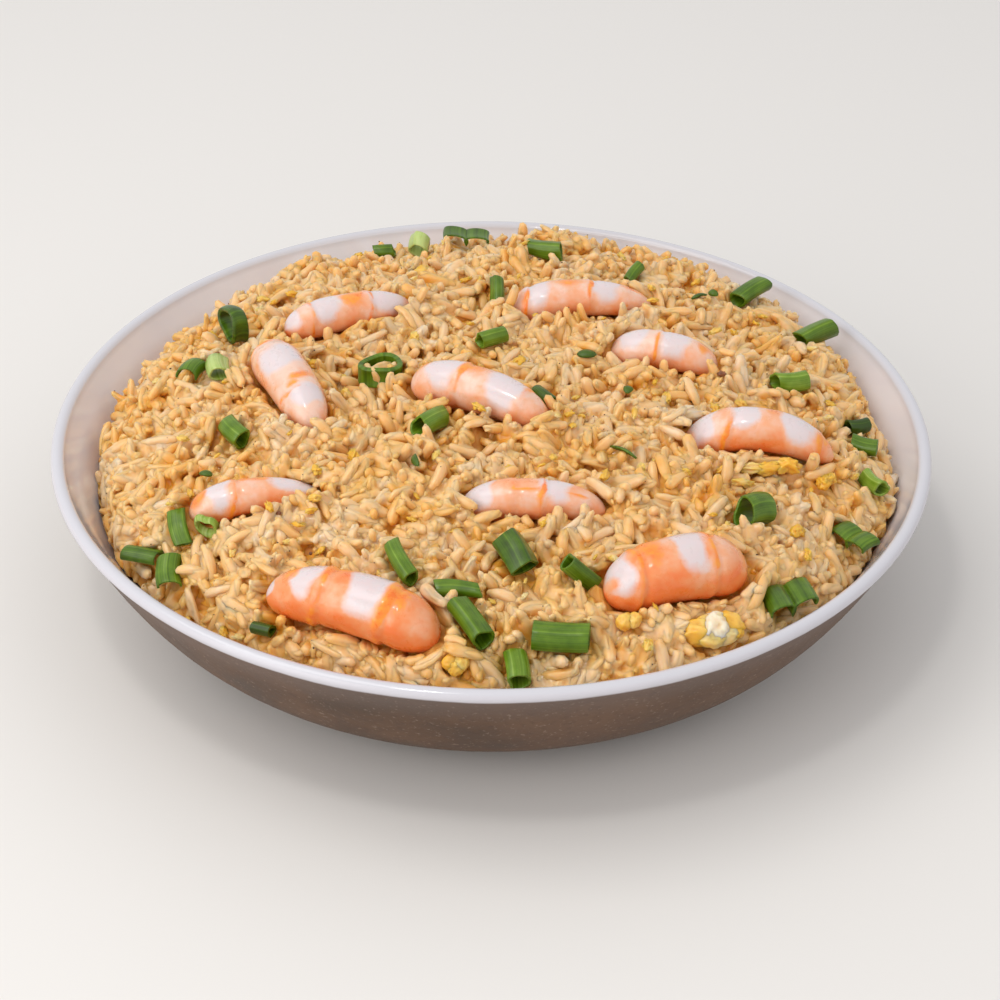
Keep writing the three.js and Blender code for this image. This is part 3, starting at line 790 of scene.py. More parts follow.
# Lobes of each piece: place in it, length, width, height as shares of its size, turn, paleness
eggLobes = {
    "near_curd": [(0.05, 0.0, 0.15, 0.5, 0.75, 0.8, 60, 0.95), (-0.62, 0.05, 0, 0.36, 0.95, 0.7, 75, 0.1),
                  (0.62, 0.25, 0.2, 0.32, 0.9, 0.65, 65, 0.05), (-0.25, 0.35, 0.3, 0.42, 0.5, 0.5, 20, 0.3),
                  (0.35, -0.45, -0.1, 0.5, 0.4, 0.5, 0, 0.55), (-0.2, -0.5, -0.1, 0.5, 0.45, 0.5, -20, 0.4),
                  (0.85, -0.2, -0.1, 0.25, 0.5, 0.4, 40, 0.0)],
    "near_bit": [(-0.3, 0.1, 0, 0.6, 0.7, 0.8, 30, 0.0), (0.45, -0.1, 0.2, 0.5, 0.7, 0.7, -40, 0.15)],
    "near_left_curd": [(-0.3, 0.2, 0.1, 0.65, 0.6, 0.7, 15, 0.05), (0.45, -0.1, 0.2, 0.5, 0.65, 0.7, 70, 0.2),
                       (0.0, -0.5, -0.1, 0.5, 0.45, 0.6, 0, 0.0)],
    "right_strip": [(-0.72, 0, 0, 0.3, 0.9, 0.8, 4, 0.1), (-0.28, 0.1, 0.1, 0.32, 0.95, 0.8, -4, 0.25),
                    (0.18, -0.1, 0, 0.32, 0.9, 0.9, 5, 0.0), (0.62, 0.1, 0.2, 0.3, 1.1, 1.0, -8, 0.15)],
    "right_flake": [(-0.3, 0, 0, 0.65, 0.8, 0.8, 10, 0.0), (0.4, 0.1, 0.1, 0.55, 0.8, 0.7, -30, 0.3)],
}


def crumple(points, seed, amount, size):  # folds like those of cooked egg
    moved = []
    for point in points:
        place = Vector(point) * size + Vector((seed * 7.3, seed * 3.1, seed))
        moved.append(noise.turbulence(
            place, foldShape["detail"], True, noise_basis="PERLIN_ORIGINAL",
            amplitude_scale=foldShape["falloff"], frequency_scale=foldShape["finer"]))
    fold = np.array(moved)
    fold = (fold - fold.mean()) / (fold.max() - fold.min())
    return points * (1 - amount * foldShape["swell"] - amount * fold)[:, None], fold


def eggPiece(name, shape):
    detail = eggDetail
    size = np.array([shape["length"], shape["width"], shape["height"]]) / 2
    allPoints, allFolds, allPale = [], [], []
    curd, sphere, faces = newBall("egg_" + name, detail["subdivisions"])
    for index, (x, y, z, length, width, height, turn, pale) in enumerate(eggLobes[name]):
        points, fold = crumple(sphere, shape["seed"] + index, shape["crumple"], detail["foldSize"])
        points = points * np.array([length * size[0], width * size[1], height * size[2]]) * detail["lobeSize"]
        points[:, 2] += detail["sway"] * points[:, 0] * np.sin(points[:, 0] * 0.9 + index)
        heading = math.radians(turn)
        turned = points.copy()
        turned[:, 0] = points[:, 0] * math.cos(heading) - points[:, 1] * math.sin(heading)
        turned[:, 1] = points[:, 0] * math.sin(heading) + points[:, 1] * math.cos(heading)
        allPoints.append(turned + np.array([x, y, z]) * size * detail["lobeSpread"])
        allFolds.append(fold)
        allPale.append(np.full(len(sphere), pale))
    curd.data = copiesMesh("egg_" + name, np.stack(allPoints), faces)
    # the fold values also carry painted shade: the finish darkens the sunken folds
    addNumber(curd.data, "fold", np.concatenate(allFolds))
    addNumber(curd.data, "pale", np.concatenate(allPale))
    shadeSmooth(curd)
    setDown(curd, shape)
    return curd


# Scraps of egg among the grains: x, y and length; more are strewn at random
eggScraps = {
    "placed": [
        (-19, 60, 8), (-63, 50, 4), (-45, 12, 5), (-66, -26, 3), (-49, -21, 3), (-33, -30, 6),
        (-13, -33, 4), (5, -37, 4), (41, 5, 4), (70, 42, 4), (35, -13, 5), (64, -4, 4), (86, 7, 4),
        (27, -40, 6), (46, -36, 4), (40, -31, 5), (81, -30, 6), (88, -28, 4), (52, -50, 4), (72, -51, 7),
        (-51, -52, 6), (-44, -56, 5), (-69, -70, 5), (-56, -80, 4), (-60, -77, 4), (31, -79, 4),
        (73, -61, 5), (35, -92, 4), (13, -58, 5), (8, -79, 4), (60, -36, 7),
    ],
    "strewn": 90, "strewnLengths": (2.4, 5.0), "strewnWithin": 90, "seed": 12,
    "crumple": 0.9, "foldSize": 1.5, "widths": (0.35, 0.7), "thicknesses": (0.25, 0.5),
    "lift": (0.3, 1.3), "tilt": 25, "roll": 60, "curl": (-1, 1.5), "pale": (-0.15, 0.35),
}


def eggScrapPiece(scraps, finish):
    random = np.random.default_rng(scraps["seed"])
    form, sphere, faces = newBall("eggScraps", 3)
    rows = list(scraps["placed"])
    while len(rows) < len(scraps["placed"]) + scraps["strewn"]:
        x, y = random.uniform(-95, 95, 2)
        if math.hypot(x - heapShape["shift"], y) < scraps["strewnWithin"]:
            rows.append((x, y, random.uniform(*scraps["strewnLengths"])))
    allPoints, allFolds = [], []
    for index, (x, y, length) in enumerate(rows):
        points, fold = crumple(sphere, index + 20, scraps["crumple"], scraps["foldSize"])
        thickness = random.uniform(*scraps["thicknesses"])
        width = random.uniform(*scraps["widths"])
        points = points * np.array([length / 2, length / 2 * width, length / 2 * thickness])
        points[:, 2] -= 0.12 * points[:, 0] ** 2 / length * random.uniform(*scraps["curl"])
        matrix = np.array(placeOf({
            "x": x, "y": y, "turn": random.uniform(0, 360),
            "tilt": random.uniform(-scraps["tilt"], scraps["tilt"]),
            "roll": random.uniform(-scraps["roll"], scraps["roll"]),
            "lift": random.uniform(*scraps["lift"]) + reliefAt(x, y)}))
        allPoints.append(points @ matrix[:3, :3].T + matrix[:3, 3] / mm)
        allFolds.append(fold)
    form.data = copiesMesh("eggScraps", np.stack(allPoints), faces)
    # the fold values also carry painted shade: the finish darkens the sunken folds
    addNumber(form.data, "fold", np.concatenate(allFolds))
    addNumber(form.data, "pale", np.repeat(random.uniform(*scraps["pale"], len(rows)), len(sphere)))
    form.data.materials.append(finish)
    shadeSmooth(form)
    return form


def eggFinish():
    finish, tree, shader = newFinish(
        "friedEgg", (0.87, 0.5, 0.11), 0.38,
        **{"IOR": 1.4, "Coat Weight": 0.25, "Coat Roughness": 0.15, "Subsurface Weight": 0.6,
           "Subsurface Scale": 0.0016, "Subsurface Radius": (1.0, 0.8, 0.45)})
    cloud = addNoise(tree, 170, 3)
    amount = addMath(tree, "ADD", readNumber(tree, "pale"), addRange(tree, cloud, 0.3, 0.7, -0.3, 0.3))
    colour = addRamp(tree, amount, [
        (0.0, (0.84, 0.44, 0.04)), (0.3, (0.86, 0.55, 0.13)), (0.6, (0.86, 0.67, 0.35)),
        (0.9, (0.86, 0.76, 0.58))])
    # painted shade: the sunken folds of the egg are darkened to a deeper yellow
    foldShade = addRange(tree, readNumber(tree, "fold"), -0.2, 0.35, 0, 0.4)
    colour = addMix(tree, foldShade, colour, (0.80, 0.43, 0.07))
    tree.links.new(colour, shader.inputs["Base Color"])
    addBump(tree, shader, addNoise(tree, 700, 3), 0.2, 0.0003)
    return finish


# Rice

# How the grains' own top differs from the heap's: small hills, and banks against the shrimp
reliefShape = {"waves": 30, "wavelengths": (6, 20), "rise": 1.35, "seed": 5,
               "bankRise": 1.3, "bankEnds": 2.2, "bankWidth": 2.8, "ringFill": 2.6, "ringFillRadius": 4.5}


def riceRelief(x, y):
    shape = reliefShape
    height = waveSum(x, y, np.random.default_rng(shape["seed"]), shape["waves"], shape["wavelengths"])
    height = height * shape["rise"] / math.sqrt(shape["waves"] / 2)
    bank = np.zeros_like(x)
    for shrimp in shrimpShapes.values():
        turn = math.radians(shrimp["turn"])
        along = (x - shrimp["x"]) * math.cos(turn) + (y - shrimp["y"]) * math.sin(turn)
        across = (y - shrimp["y"]) * math.cos(turn) - (x - shrimp["x"]) * math.sin(turn)
        away = np.hypot(along / shrimp["length"], across / shrimp["width"]) - 0.5
        away = away * shrimp["width"] * (1 + np.abs(along) / shrimp["length"])
        toEnd = np.clip(np.abs(along) / (shrimp["length"] / 2), 0, 1) ** 4
        rise = shape["bankRise"] + shape["bankEnds"] * toEnd
        bank = np.maximum(bank, rise * np.exp(-((away - 1) / shape["bankWidth"]) ** 2))
    ring = scallionShapes["middle_ring"]
    fill = np.exp(-((x - ring["x"]) ** 2 + (y - ring["y"]) ** 2) / shape["ringFillRadius"] ** 2)
    return height + bank + shape["ringFill"] * fill


def riceTop(x, y):
    return heapHeight(x, y) + riceRelief(x, y)


def reliefAt(x, y):
    return float(riceRelief(np.array([x]), np.array([y]))[0])


grainSettings = {
    "count": 8100, "seed": 7, "layer": 6.4, "shallowest": 0.6, "margin": 1.5, "thinning": 0.35,
    "lengths": (7.4, 11.2), "broken": 0.18, "brokenLengths": (2.8, 5.6), "widths": (2.45, 3.25),
    "tiltSpread": 28, "tiltLimit": 60, "standing": 0.26, "standingTilt": (35, 80),
    "proud": 1.5, "loose": 0.07, "looseProud": (1.8, 3.0), "endsOut": 0.8,
    "balls": 4, "rounds": 90, "regroup": 6, "neighbours": 3.0, "overlap": 0.74,  # how they push one another
    "push": 1.5, "crowding": 0.6, "pull": 0.5, "drop": 0.015, "looseDrop": 0.12, "wallGap": 0.25,
    "move": 0.9, "swing": 0.8, "sunk": 0.5,
}


def toppingBalls():  # the toppings as rows of balls, for the grains to lie against
    rows = []
    for shape in shrimpShapes.values():
        along = np.linspace(-0.97, 0.97, 15)
        radius = shrimpFullness(along, shape["taper"]) * shape["width"] / 2
        local = np.stack([along * shape["length"] / 2, 0 * along, -shape["arch"] * along ** 2], -1)
        rows.append((shape, local, radius))
    for shape in scallionShapes.values():
        radius = shape["width"] / 2
        if shape["width"] > 10:  # a wide ring stays open: its wall is a ring of small balls
            angle = np.linspace(0, 2 * math.pi, 24, endpoint=False)
            wall = shape.get("wall", scallionDetail["wall"])
            reach = radius - wall / 2
            ring = np.stack([0 * angle, reach * np.cos(angle), reach * np.sin(angle)], -1)
            offsets = np.array([-0.4, -0.13, 0.13, 0.4]) * shape["length"]
            local = np.concatenate([ring + np.array([offset, 0, 0]) for offset in offsets])
            rows.append((shape, local, np.full(len(local), 0.8)))
            continue
        along = np.linspace(-1, 1, 7) * max(0.1, shape["length"] / 2 - radius * 0.6)
        local = np.stack([along, 0 * along, 0 * along], -1)
        rows.append((shape, local, np.full(7, radius * (1 + shape.get("flat", 1)) / 2)))
    for shape in eggShapes.values():
        small = min(shape["width"], shape["height"]) / 2
        along = np.linspace(-1, 1, 7) * (shape["length"] / 2 - small)
        local = np.stack([along, 0 * along, 0 * along], -1)
        rows.append((shape, local, np.full(7, small * 0.9)))
    balls = []
    for shape, local, radius in rows:
        matrix = np.array(placeOf(shape))
        balls.append((local @ matrix[:3, :3].T + matrix[:3, 3] / mm, radius))
    return balls


def nearPairs(points, reach):  # pairs of points less than about reach apart, by sorting them into cells
    cell = np.floor((points - points.min(0)) / reach).astype(np.int64) + 1
    size = cell.max(0) + 2
    key = (cell[:, 0] * size[1] + cell[:, 1]) * size[2] + cell[:, 2]
    order = np.argsort(key, kind="stable")
    sortedKey = key[order]
    pairs = []
    steps = [(i, j, k) for i in (-1, 0, 1) for j in (-1, 0, 1) for k in (-1, 0, 1)]
    for i, j, k in [step for step in steps if step >= (0, 0, 0)]:  # each pair of cells once
        wanted = sortedKey + (i * size[1] + j) * size[2] + k
        first = np.searchsorted(sortedKey, wanted, "left")
        last = np.searchsorted(sortedKey, wanted, "right")
        counts = last - first
        mine = np.repeat(np.arange(len(order)), counts)
        start = np.repeat(first - np.concatenate([[0], np.cumsum(counts)[:-1]]), counts)
        other = np.arange(len(mine)) + start
        if (i, j, k) == (0, 0, 0):
            keep = other > mine
            mine, other = mine[keep], other[keep]
        pairs.append((order[mine], order[other]))
    return np.concatenate([p[0] for p in pairs]), np.concatenate([p[1] for p in pairs])


def pushOff(points, radius, balls):  # how far each point moves to clear the toppings
    shift = np.zeros_like(points)
    for centres, reach in balls:
        low, high = centres.min(0) - reach.max() - 2, centres.max(0) + reach.max() + 2
        near = np.nonzero(np.all((points > low) & (points < high), axis=1))[0]
        if len(near) == 0:
            continue
        away = points[near][:, None] - centres[None]
        far = np.maximum(np.linalg.norm(away, axis=2), 1e-6)
        sunk = reach[None] + radius[near][:, None] * 0.95 - far
        worst = sunk.argmax(1)
        rows = np.arange(len(near))
        amount = np.maximum(sunk[rows, worst], 0)
        shift[near] += away[rows, worst] / far[rows, worst, None] * amount[:, None]
    return shift


def settleGrains(settings):
    random = np.random.default_rng(settings["seed"])
    # scatter over the heap, as dense on the steep rim as on the flat top
    reach = heapShape["radius"] + heapShape["shift"] + 2
    tries = random.uniform(-reach, reach, (settings["count"] * 6, 2))
    normal = heapNormal(tries[:, 0], tries[:, 1])
    fromMiddle = np.hypot(tries[:, 0] - heapShape["shift"], tries[:, 1])
    inside = fromMiddle < heapShape["radius"] + settings["margin"]
    likely = random.uniform(0, 1, len(tries)) < settings["thinning"] / normal[:, 2]
    chosen = np.nonzero(inside & likely)[0][:settings["count"]]
    tries, normal, count = tries[chosen], normal[chosen], len(chosen)
    surface = np.column_stack([tries, riceTop(tries[:, 0], tries[:, 1])])
    isLoose = random.uniform(0, 1, count) < settings["loose"]
    depth = np.where(isLoose, -1, random.uniform(settings["shallowest"], settings["layer"], count))
    centre = surface - normal * depth[:, None]
    length = random.uniform(*settings["lengths"], count)
    isBroken = random.uniform(0, 1, count) < settings["broken"]
    length[isBroken] = random.uniform(*settings["brokenLengths"], isBroken.sum())
    width = random.uniform(*settings["widths"], count)
    radius = width / 2
    half = length / 2 - radius
    heading = random.uniform(0, 2 * math.pi, count)
    limit = settings["tiltLimit"]
    tilt = np.clip(random.normal(0, settings["tiltSpread"], count), -limit, limit)
    isStanding = (random.uniform(0, 1, count) < settings["standing"]) & ~isLoose
    tilt[isStanding] = random.uniform(*settings["standingTilt"], isStanding.sum())
    tilt = np.radians(tilt)
    across = np.cross(normal, np.array([0.31, 0.95, 0.02]))
    across /= np.linalg.norm(across, axis=1, keepdims=True)
    other = np.cross(normal, across)
    flat = across * np.cos(heading)[:, None] + other * np.sin(heading)[:, None]
    direction = flat * np.cos(tilt)[:, None] + normal * np.sin(tilt)[:, None]
    proud = random.uniform(0, settings["proud"], count) ** 2 / settings["proud"]
    proud[isLoose] = random.uniform(*settings["looseProud"], isLoose.sum())
    drop = np.where(isLoose, settings["looseDrop"], settings["drop"])
    share = np.linspace(-1, 1, settings["balls"])
    owner = np.repeat(np.arange(count), settings["balls"])
    endsOut = (share[None] * (half * np.sin(tilt))[:, None] * settings["endsOut"]).ravel()
    ballRadius = radius[owner]
    balls = toppingBalls()

    def ballPlaces():  # each grain as a row of balls
        along = direction[:, None] * (share[None, :, None] * half[:, None, None])
        return (centre[:, None] + along).reshape(-1, 3)

    for turn in range(settings["rounds"]):
        points = ballPlaces()
        if turn % settings["regroup"] == 0:
            left, right = nearPairs(points, settings["neighbours"])
            apart = owner[left] != owner[right]
            left, right = left[apart], right[apart]
            top = riceTop(points[:, 0], points[:, 1]) + proud[owner] + np.maximum(endsOut, 0)
            slope = heapNormal(points[:, 0], points[:, 1])
        gapVector = points[left] - points[right]
        distance = np.maximum(np.linalg.norm(gapVector, axis=1), 1e-6)
        overlap = (ballRadius[left] + ballRadius[right]) * settings["overlap"] - distance
        hit = overlap > 0
        push = gapVector[hit] / distance[hit, None] * (overlap[hit] * 0.5)[:, None]
        shift = np.zeros_like(points)
        for axis in range(3):
            shift[:, axis] += np.bincount(left[hit], push[:, axis], len(points))
            shift[:, axis] -= np.bincount(right[hit], push[:, axis], len(points))
        contacts = np.bincount(np.concatenate([left[hit], right[hit]]), minlength=len(points))
        shift *= settings["push"] / np.maximum(contacts, 1)[:, None] ** settings["crowding"]
        shift += pushOff(points, ballRadius, balls)
        # the heap's surface, its core below and the wall of the bowl
        rise = (points[:, 2] - top) * slope[:, 2] + ballRadius
        shift -= slope * (np.maximum(rise, 0) * settings["pull"])[:, None]
        sunken = -rise + ballRadius - settings["layer"] - settings["margin"]
        shift += slope * (np.maximum(sunken, 0) * settings["pull"])[:, None]
        shift[:, 2] -= drop[owner]
        out = np.hypot(points[:, 0], points[:, 1])
        wall = innerWall(points[:, 2]) - ballRadius - settings["wallGap"]
        inward = np.maximum(out - wall, 0)
        shift[:, :2] -= points[:, :2] / out[:, None] * inward[:, None]
        shift = shift.reshape(count, -1, 3)
        centre = centre + shift.mean(1) * settings["move"]
        lever = (shift * share[None, :, None]).sum(1) / ((share ** 2).sum() * np.maximum(half, 0.4)[:, None])
        direction = direction + lever * settings["swing"]
        direction /= np.linalg.norm(direction, axis=1, keepdims=True)

    points = ballPlaces()
    sunk = np.linalg.norm(pushOff(points, ballRadius, balls), axis=1)
    past = np.hypot(points[:, 0], points[:, 1]) + ballRadius - innerWall(points[:, 2])
    clear = np.maximum(sunk, past).reshape(count, -1).max(1) < settings["sunk"]
    grains = {"centre": centre[clear], "direction": direction[clear], "length": length[clear],
              "width": width[clear], "loose": isLoose[clear]}
    return fillHollows(grains, points, ballRadius, balls, random)


fillSettings = {"span": 240, "cell": 1.8, "spread": 0.6, "hollow": 1.9, "depth": 1.8, "flatness": 0.35,
                "lengths": (3.0, 6.5), "widths": (2.2, 2.8), "radius": 1.1, "fromWall": 1.4,
                "sunk": 0.6}


def fillHollows(grains, points, radius, balls, random):  # more grains wherever the core still shows
    settings = fillSettings
    edge = settings["span"] / 2
    side = int(settings["span"] / settings["cell"])
    top = np.full((side, side), -99.0)  # how high the grains reach in each cell of a grid
    for moveX in (-1, 0, 1):
        for moveY in (-1, 0, 1):
            column = ((points[:, 0] + edge) / settings["cell"] + moveX * settings["spread"]).astype(int)
            row = ((points[:, 1] + edge) / settings["cell"] + moveY * settings["spread"]).astype(int)
            np.maximum.at(top, (column, row), points[:, 2] + radius * 0.8)
    columns, rows = np.meshgrid(np.arange(side), np.arange(side), indexing="ij")
    x = (columns.ravel() + 0.5) * settings["cell"] - edge + random.uniform(-0.5, 0.5, side * side)
    y = (rows.ravel() + 0.5) * settings["cell"] - edge + random.uniform(-0.5, 0.5, side * side)
    wanted = riceTop(x, y)
    onHeap = np.hypot(x - heapShape["shift"], y) < heapShape["radius"] - 2
    isHollow = (top.ravel() < wanted - settings["hollow"]) & onHeap
    centre = np.column_stack([x, y, wanted - settings["depth"]])[isHollow]
    count = len(centre)
    length = random.uniform(*settings["lengths"], count)
    direction = random.normal(0, 1, (count, 3)) * np.array([1, 1, settings["flatness"]])
    direction /= np.linalg.norm(direction, axis=1, keepdims=True)
    ends = np.concatenate([centre + direction * (length / 2 - 1)[:, None] * share for share in (-1, 0, 1)])
    endRadius = np.full(len(ends), settings["radius"])
    sunk = np.linalg.norm(pushOff(ends, endRadius, balls), axis=1).reshape(3, -1).max(0)
    reach = np.hypot(ends[:, 0], ends[:, 1]) + settings["fromWall"]
    past = (reach - innerWall(ends[:, 2])).reshape(3, -1).max(0)
    clear = np.maximum(sunk, past) < settings["sunk"]
    extra = {"centre": centre[clear], "direction": direction[clear], "length": length[clear],
             "width": random.uniform(*settings["widths"], count)[clear], "loose": np.zeros(clear.sum(), bool)}
    return {key: np.concatenate([grains[key], extra[key]]) for key in grains}


grainDetail = {"around": 7, "along": 6, "bluntness": 4.5, "flattened": (0.6, 0.95), "taper": 0.2, "bend": 1.2,
               "lumps": 0.07, "wave": 2.5, "askew": 0.25, "rough": 0.05, "depthShade": 0.55, "depthShadeReach": 4.2}


def grainForm(detail):  # one grain, a unit long and wide, lying along X
    grain, points, along, ring = ringBall("grain", detail["around"], detail["along"])
    ring = np.maximum(ring, 1e-6)
    full = np.maximum(0, 1 - np.abs(along) ** detail["bluntness"]) ** 0.5 / ring
    points[:, 1] *= full * (ring > 1e-5)
    points[:, 2] *= full * (ring > 1e-5)
    faces = [tuple(face.vertices) for face in grain.data.polygons]
    bpy.data.objects.remove(grain)
    return points, faces


def grainMesh(name, grains, chosen, tone, finish):
    detail = grainDetail
    form, faces = grainForm(detail)
    random = np.random.default_rng(int(chosen.sum()) % 9973)
    count = len(chosen)
    direction = grains["direction"][chosen]
    spin = random.normal(size=(count, 3))
    across = np.cross(direction, spin)
    across /= np.linalg.norm(across, axis=1, keepdims=True)
    up = np.cross(direction, across)
    length = grains["length"][chosen][:, None] / 2
    width = grains["width"][chosen][:, None] / 2
    slim = random.uniform(*detail["flattened"], (count, 1))
    taper = random.uniform(-1, 1, (count, 1)) * detail["taper"]
    bend = random.uniform(-1, 1, (count, 1)) * detail["bend"] * length / 4.5
    lump = random.uniform(0, 6.3, (3, count, 1))
    along = form[:, 0][None]
    narrow = 1 + taper * along + detail["lumps"] * np.sin(along * 3.4 + lump[0])
    shiftY = detail["lumps"] * detail["wave"] * np.sin(along * 2.6 + lump[1])
    cut = detail["askew"] * form[:, 1][None] * np.sin(lump[2])  # the ends are cut a little aslant
    localX = along * length + cut * np.abs(along) ** 3
    localY = form[:, 1][None] * width * narrow + shiftY
    localZ = form[:, 2][None] * width * slim * narrow + bend * (along ** 2 - 0.4)
    points = (grains["centre"][chosen][:, None] + direction[:, None] * localX[..., None]
              + across[:, None] * localY[..., None] + up[:, None] * localZ[..., None])
    points += random.normal(0, detail["rough"], points.shape)
    mesh = copiesMesh(name, points, faces)
    mesh.validate()
    flat = points.reshape(-1, 3)
    # painted shade: grains lying deeper below the rice's top are darkened towards amber
    sunk = np.clip((riceTop(flat[:, 0], flat[:, 1]) - flat[:, 2]) / detail["depthShadeReach"], 0, 1)
    addNumber(mesh, "tone", np.clip(np.repeat(tone[chosen], len(form)) - detail["depthShade"] * sunk, 0.02, 0.98))
    addNumber(mesh, "along", np.tile(form[:, 0], count))
    piece = bpy.data.objects.new(name, mesh)
    bpy.context.collection.objects.link(piece)
    shadeSmooth(piece)
    mesh.materials.append(finish)
    return piece


# Cooked grains cling: under the loose ones their skins run into one another where they touch
clumpSettings = {"slim": 0.9, "voxel": 0.5, "smooth": 0.5, "rounds": 1, "triangles": 98000}


def clumpPiece(name, grains, chosen, tone, finish, settings):
    slimmer = dict(grains, width=grains["width"] * settings["slim"])
    piece = grainMesh(name, slimmer, chosen, tone, finish)
    attributes = ("tone", "along")
    values = {}
    for attribute in attributes:
        values[attribute] = np.empty(len(piece.data.vertices), dtype=np.float32)
        piece.data.attributes[attribute].data.foreach_get("value", values[attribute])
    tree = KDTree(len(piece.data.vertices))
    for vertex in piece.data.vertices:
        tree.insert(vertex.co, vertex.index)
    tree.balance()
    cling = piece.modifiers.new("cling", "REMESH")
    cling.mode = "VOXEL"
    cling.voxel_size = settings["voxel"] * mm
    relax = piece.modifiers.new("relax", "SMOOTH")
    relax.factor = settings["smooth"]
    relax.iterations = settings["rounds"]
    applyModifiers(piece)
    thin = piece.modifiers.new("thin", "DECIMATE")
    thin.ratio = min(1, settings["triangles"] / (2 * len(piece.data.polygons)))
    applyModifiers(piece)
    piece.data.validate()
    nearest = np.array([tree.find(vertex.co)[1] for vertex in piece.data.vertices])
    for attribute in attributes:
        addNumber(piece.data, attribute, values[attribute][nearest])
    shadeSmooth(piece)
    return piece


def riceFinish():
    finish, tree, shader = newFinish(
        "friedRice", (0.82, 0.55, 0.24), 0.34,
        **{"IOR": 1.4, "Coat Weight": 0.35, "Coat Roughness": 0.12, "Subsurface Weight": 0.85,
           "Subsurface Scale": 0.0015, "Subsurface Radius": (1.0, 0.85, 0.62)})
    tone = readNumber(tree, "tone")
    along = readNumber(tree, "along")
    smudge = addNoise(tree, 300, 3, 0.6)
    amount = addMath(tree, "ADD", tone, addRange(tree, smudge, 0.3, 0.7, -0.14, 0.14))
    tips = addMath(tree, "MULTIPLY", addMath(tree, "ABSOLUTE", along), 0.06)
    amount = addMath(tree, "SUBTRACT", amount, tips, clamp=True)
    colour = addRamp(tree, amount, [
        (0.0, (0.78, 0.34, 0.036)), (0.3, (0.80, 0.43, 0.105)), (0.6, (0.81, 0.50, 0.205)),
        (0.85, (0.79, 0.55, 0.31)), (1.0, (0.80, 0.62, 0.42))])
    tree.links.new(colour, shader.inputs["Base Color"])
    tree.links.new(addRange(tree, smudge, 0.3, 0.7, 0.26, 0.46), shader.inputs["Roughness"])
    addBump(tree, shader, addNoise(tree, 700, 3), 0.12, 0.0002)
    return finish


# 0 is amber and 1 is pale; deeper grains are darker, as painted shade, and loose ones lighter
toneSettings = {"middle": 0.70, "patches": 0.035, "waves": 10, "wavelengths": (14, 45), "spread": 0.085,
                "loose": 0.06, "deepShade": 0.12, "depth": 5, "seed": 23}


def riceTone(grains):  # broad lighter and darker patches, and each grain a little different
    random = np.random.default_rng(toneSettings["seed"])
    x, y = grains["centre"][:, 0], grains["centre"][:, 1]
    patch = waveSum(x, y, random, toneSettings["waves"], toneSettings["wavelengths"])
    deepShade = np.clip((riceTop(x, y) - grains["centre"][:, 2]) / toneSettings["depth"], 0, 1)
    return (toneSettings["middle"] + toneSettings["patches"] * patch
            + random.normal(0, toneSettings["spread"], len(x))
            + toneSettings["loose"] * grains["loose"] - toneSettings["deepShade"] * deepShade)


coreShape = {"below": 4.8, "edge": 33, "sides": 144, "rings": 46, "wallRows": 6, "gap": 0.35, "ripple": 0.5}


def makeCore(shape):  # what is seen between the grains, closed along the bowl's inner wall
    floor = bowlShape["footHeight"] + bowlShape["floorThickness"] + shape["gap"]
    heights = np.linspace(floor, shape["edge"], shape["wallRows"])
    profile = [(float(innerWall(height)) - shape["gap"] - 0.6, height) for height in heights]
    edgeRadius = profile[-1][0]
    profile += [(radius, shape["edge"] + 4) for radius in np.linspace(edgeRadius - 1.5, 1, shape["rings"])]
    core = growRings("riceCore", profile, shape["sides"])
    points = getPoints(core.data) / mm
    isTop = points[:, 2] > shape["edge"] + 2
    top = riceTop(points[:, 0], points[:, 1]) - shape["below"]
    top += shape["ripple"] * np.sin(points[:, 0] * 1.9) * np.cos(points[:, 1] * 1.7)
    points[isTop, 2] = top[isTop]
    setPoints(core.data, points * mm)
    shadeSmooth(core)
    return core


def coreFinish():
    finish, tree, shader = newFinish(
        "amberRice", (0.80, 0.46, 0.10), 0.5,
        **{"IOR": 1.4, "Subsurface Weight": 0.5, "Subsurface Scale": 0.002,
           "Subsurface Radius": (1.0, 0.85, 0.6)})
    lumps = addNode(tree, "ShaderNodeTexVoronoi", {"feature": "SMOOTH_F1"}, {
        "Vector": objectPlace(tree)}, Scale=420, Smoothness=0.4)
    # painted shade: the core's colour is darker in the hollows between its lumps
    amount = addMath(tree, "ADD", lumps.outputs["Distance"], addNoise(tree, 150, 3))
    colour = addRamp(tree, amount, [(0.5, (0.80, 0.43, 0.12)), (0.9, (0.66, 0.29, 0.05))])
    tree.links.new(colour, shader.inputs["Base Color"])
    addBump(tree, shader, lumps.outputs["Distance"], 0.6, -0.001)
    return finish


# Pepper and crumbs

pepperSettings = {"count": 430, "sizes": (0.08, 0.22), "above": 0.15, "stretch": (0.6, 1.4),
                  "jagged": (0.75, 1.25), "seed": 41}


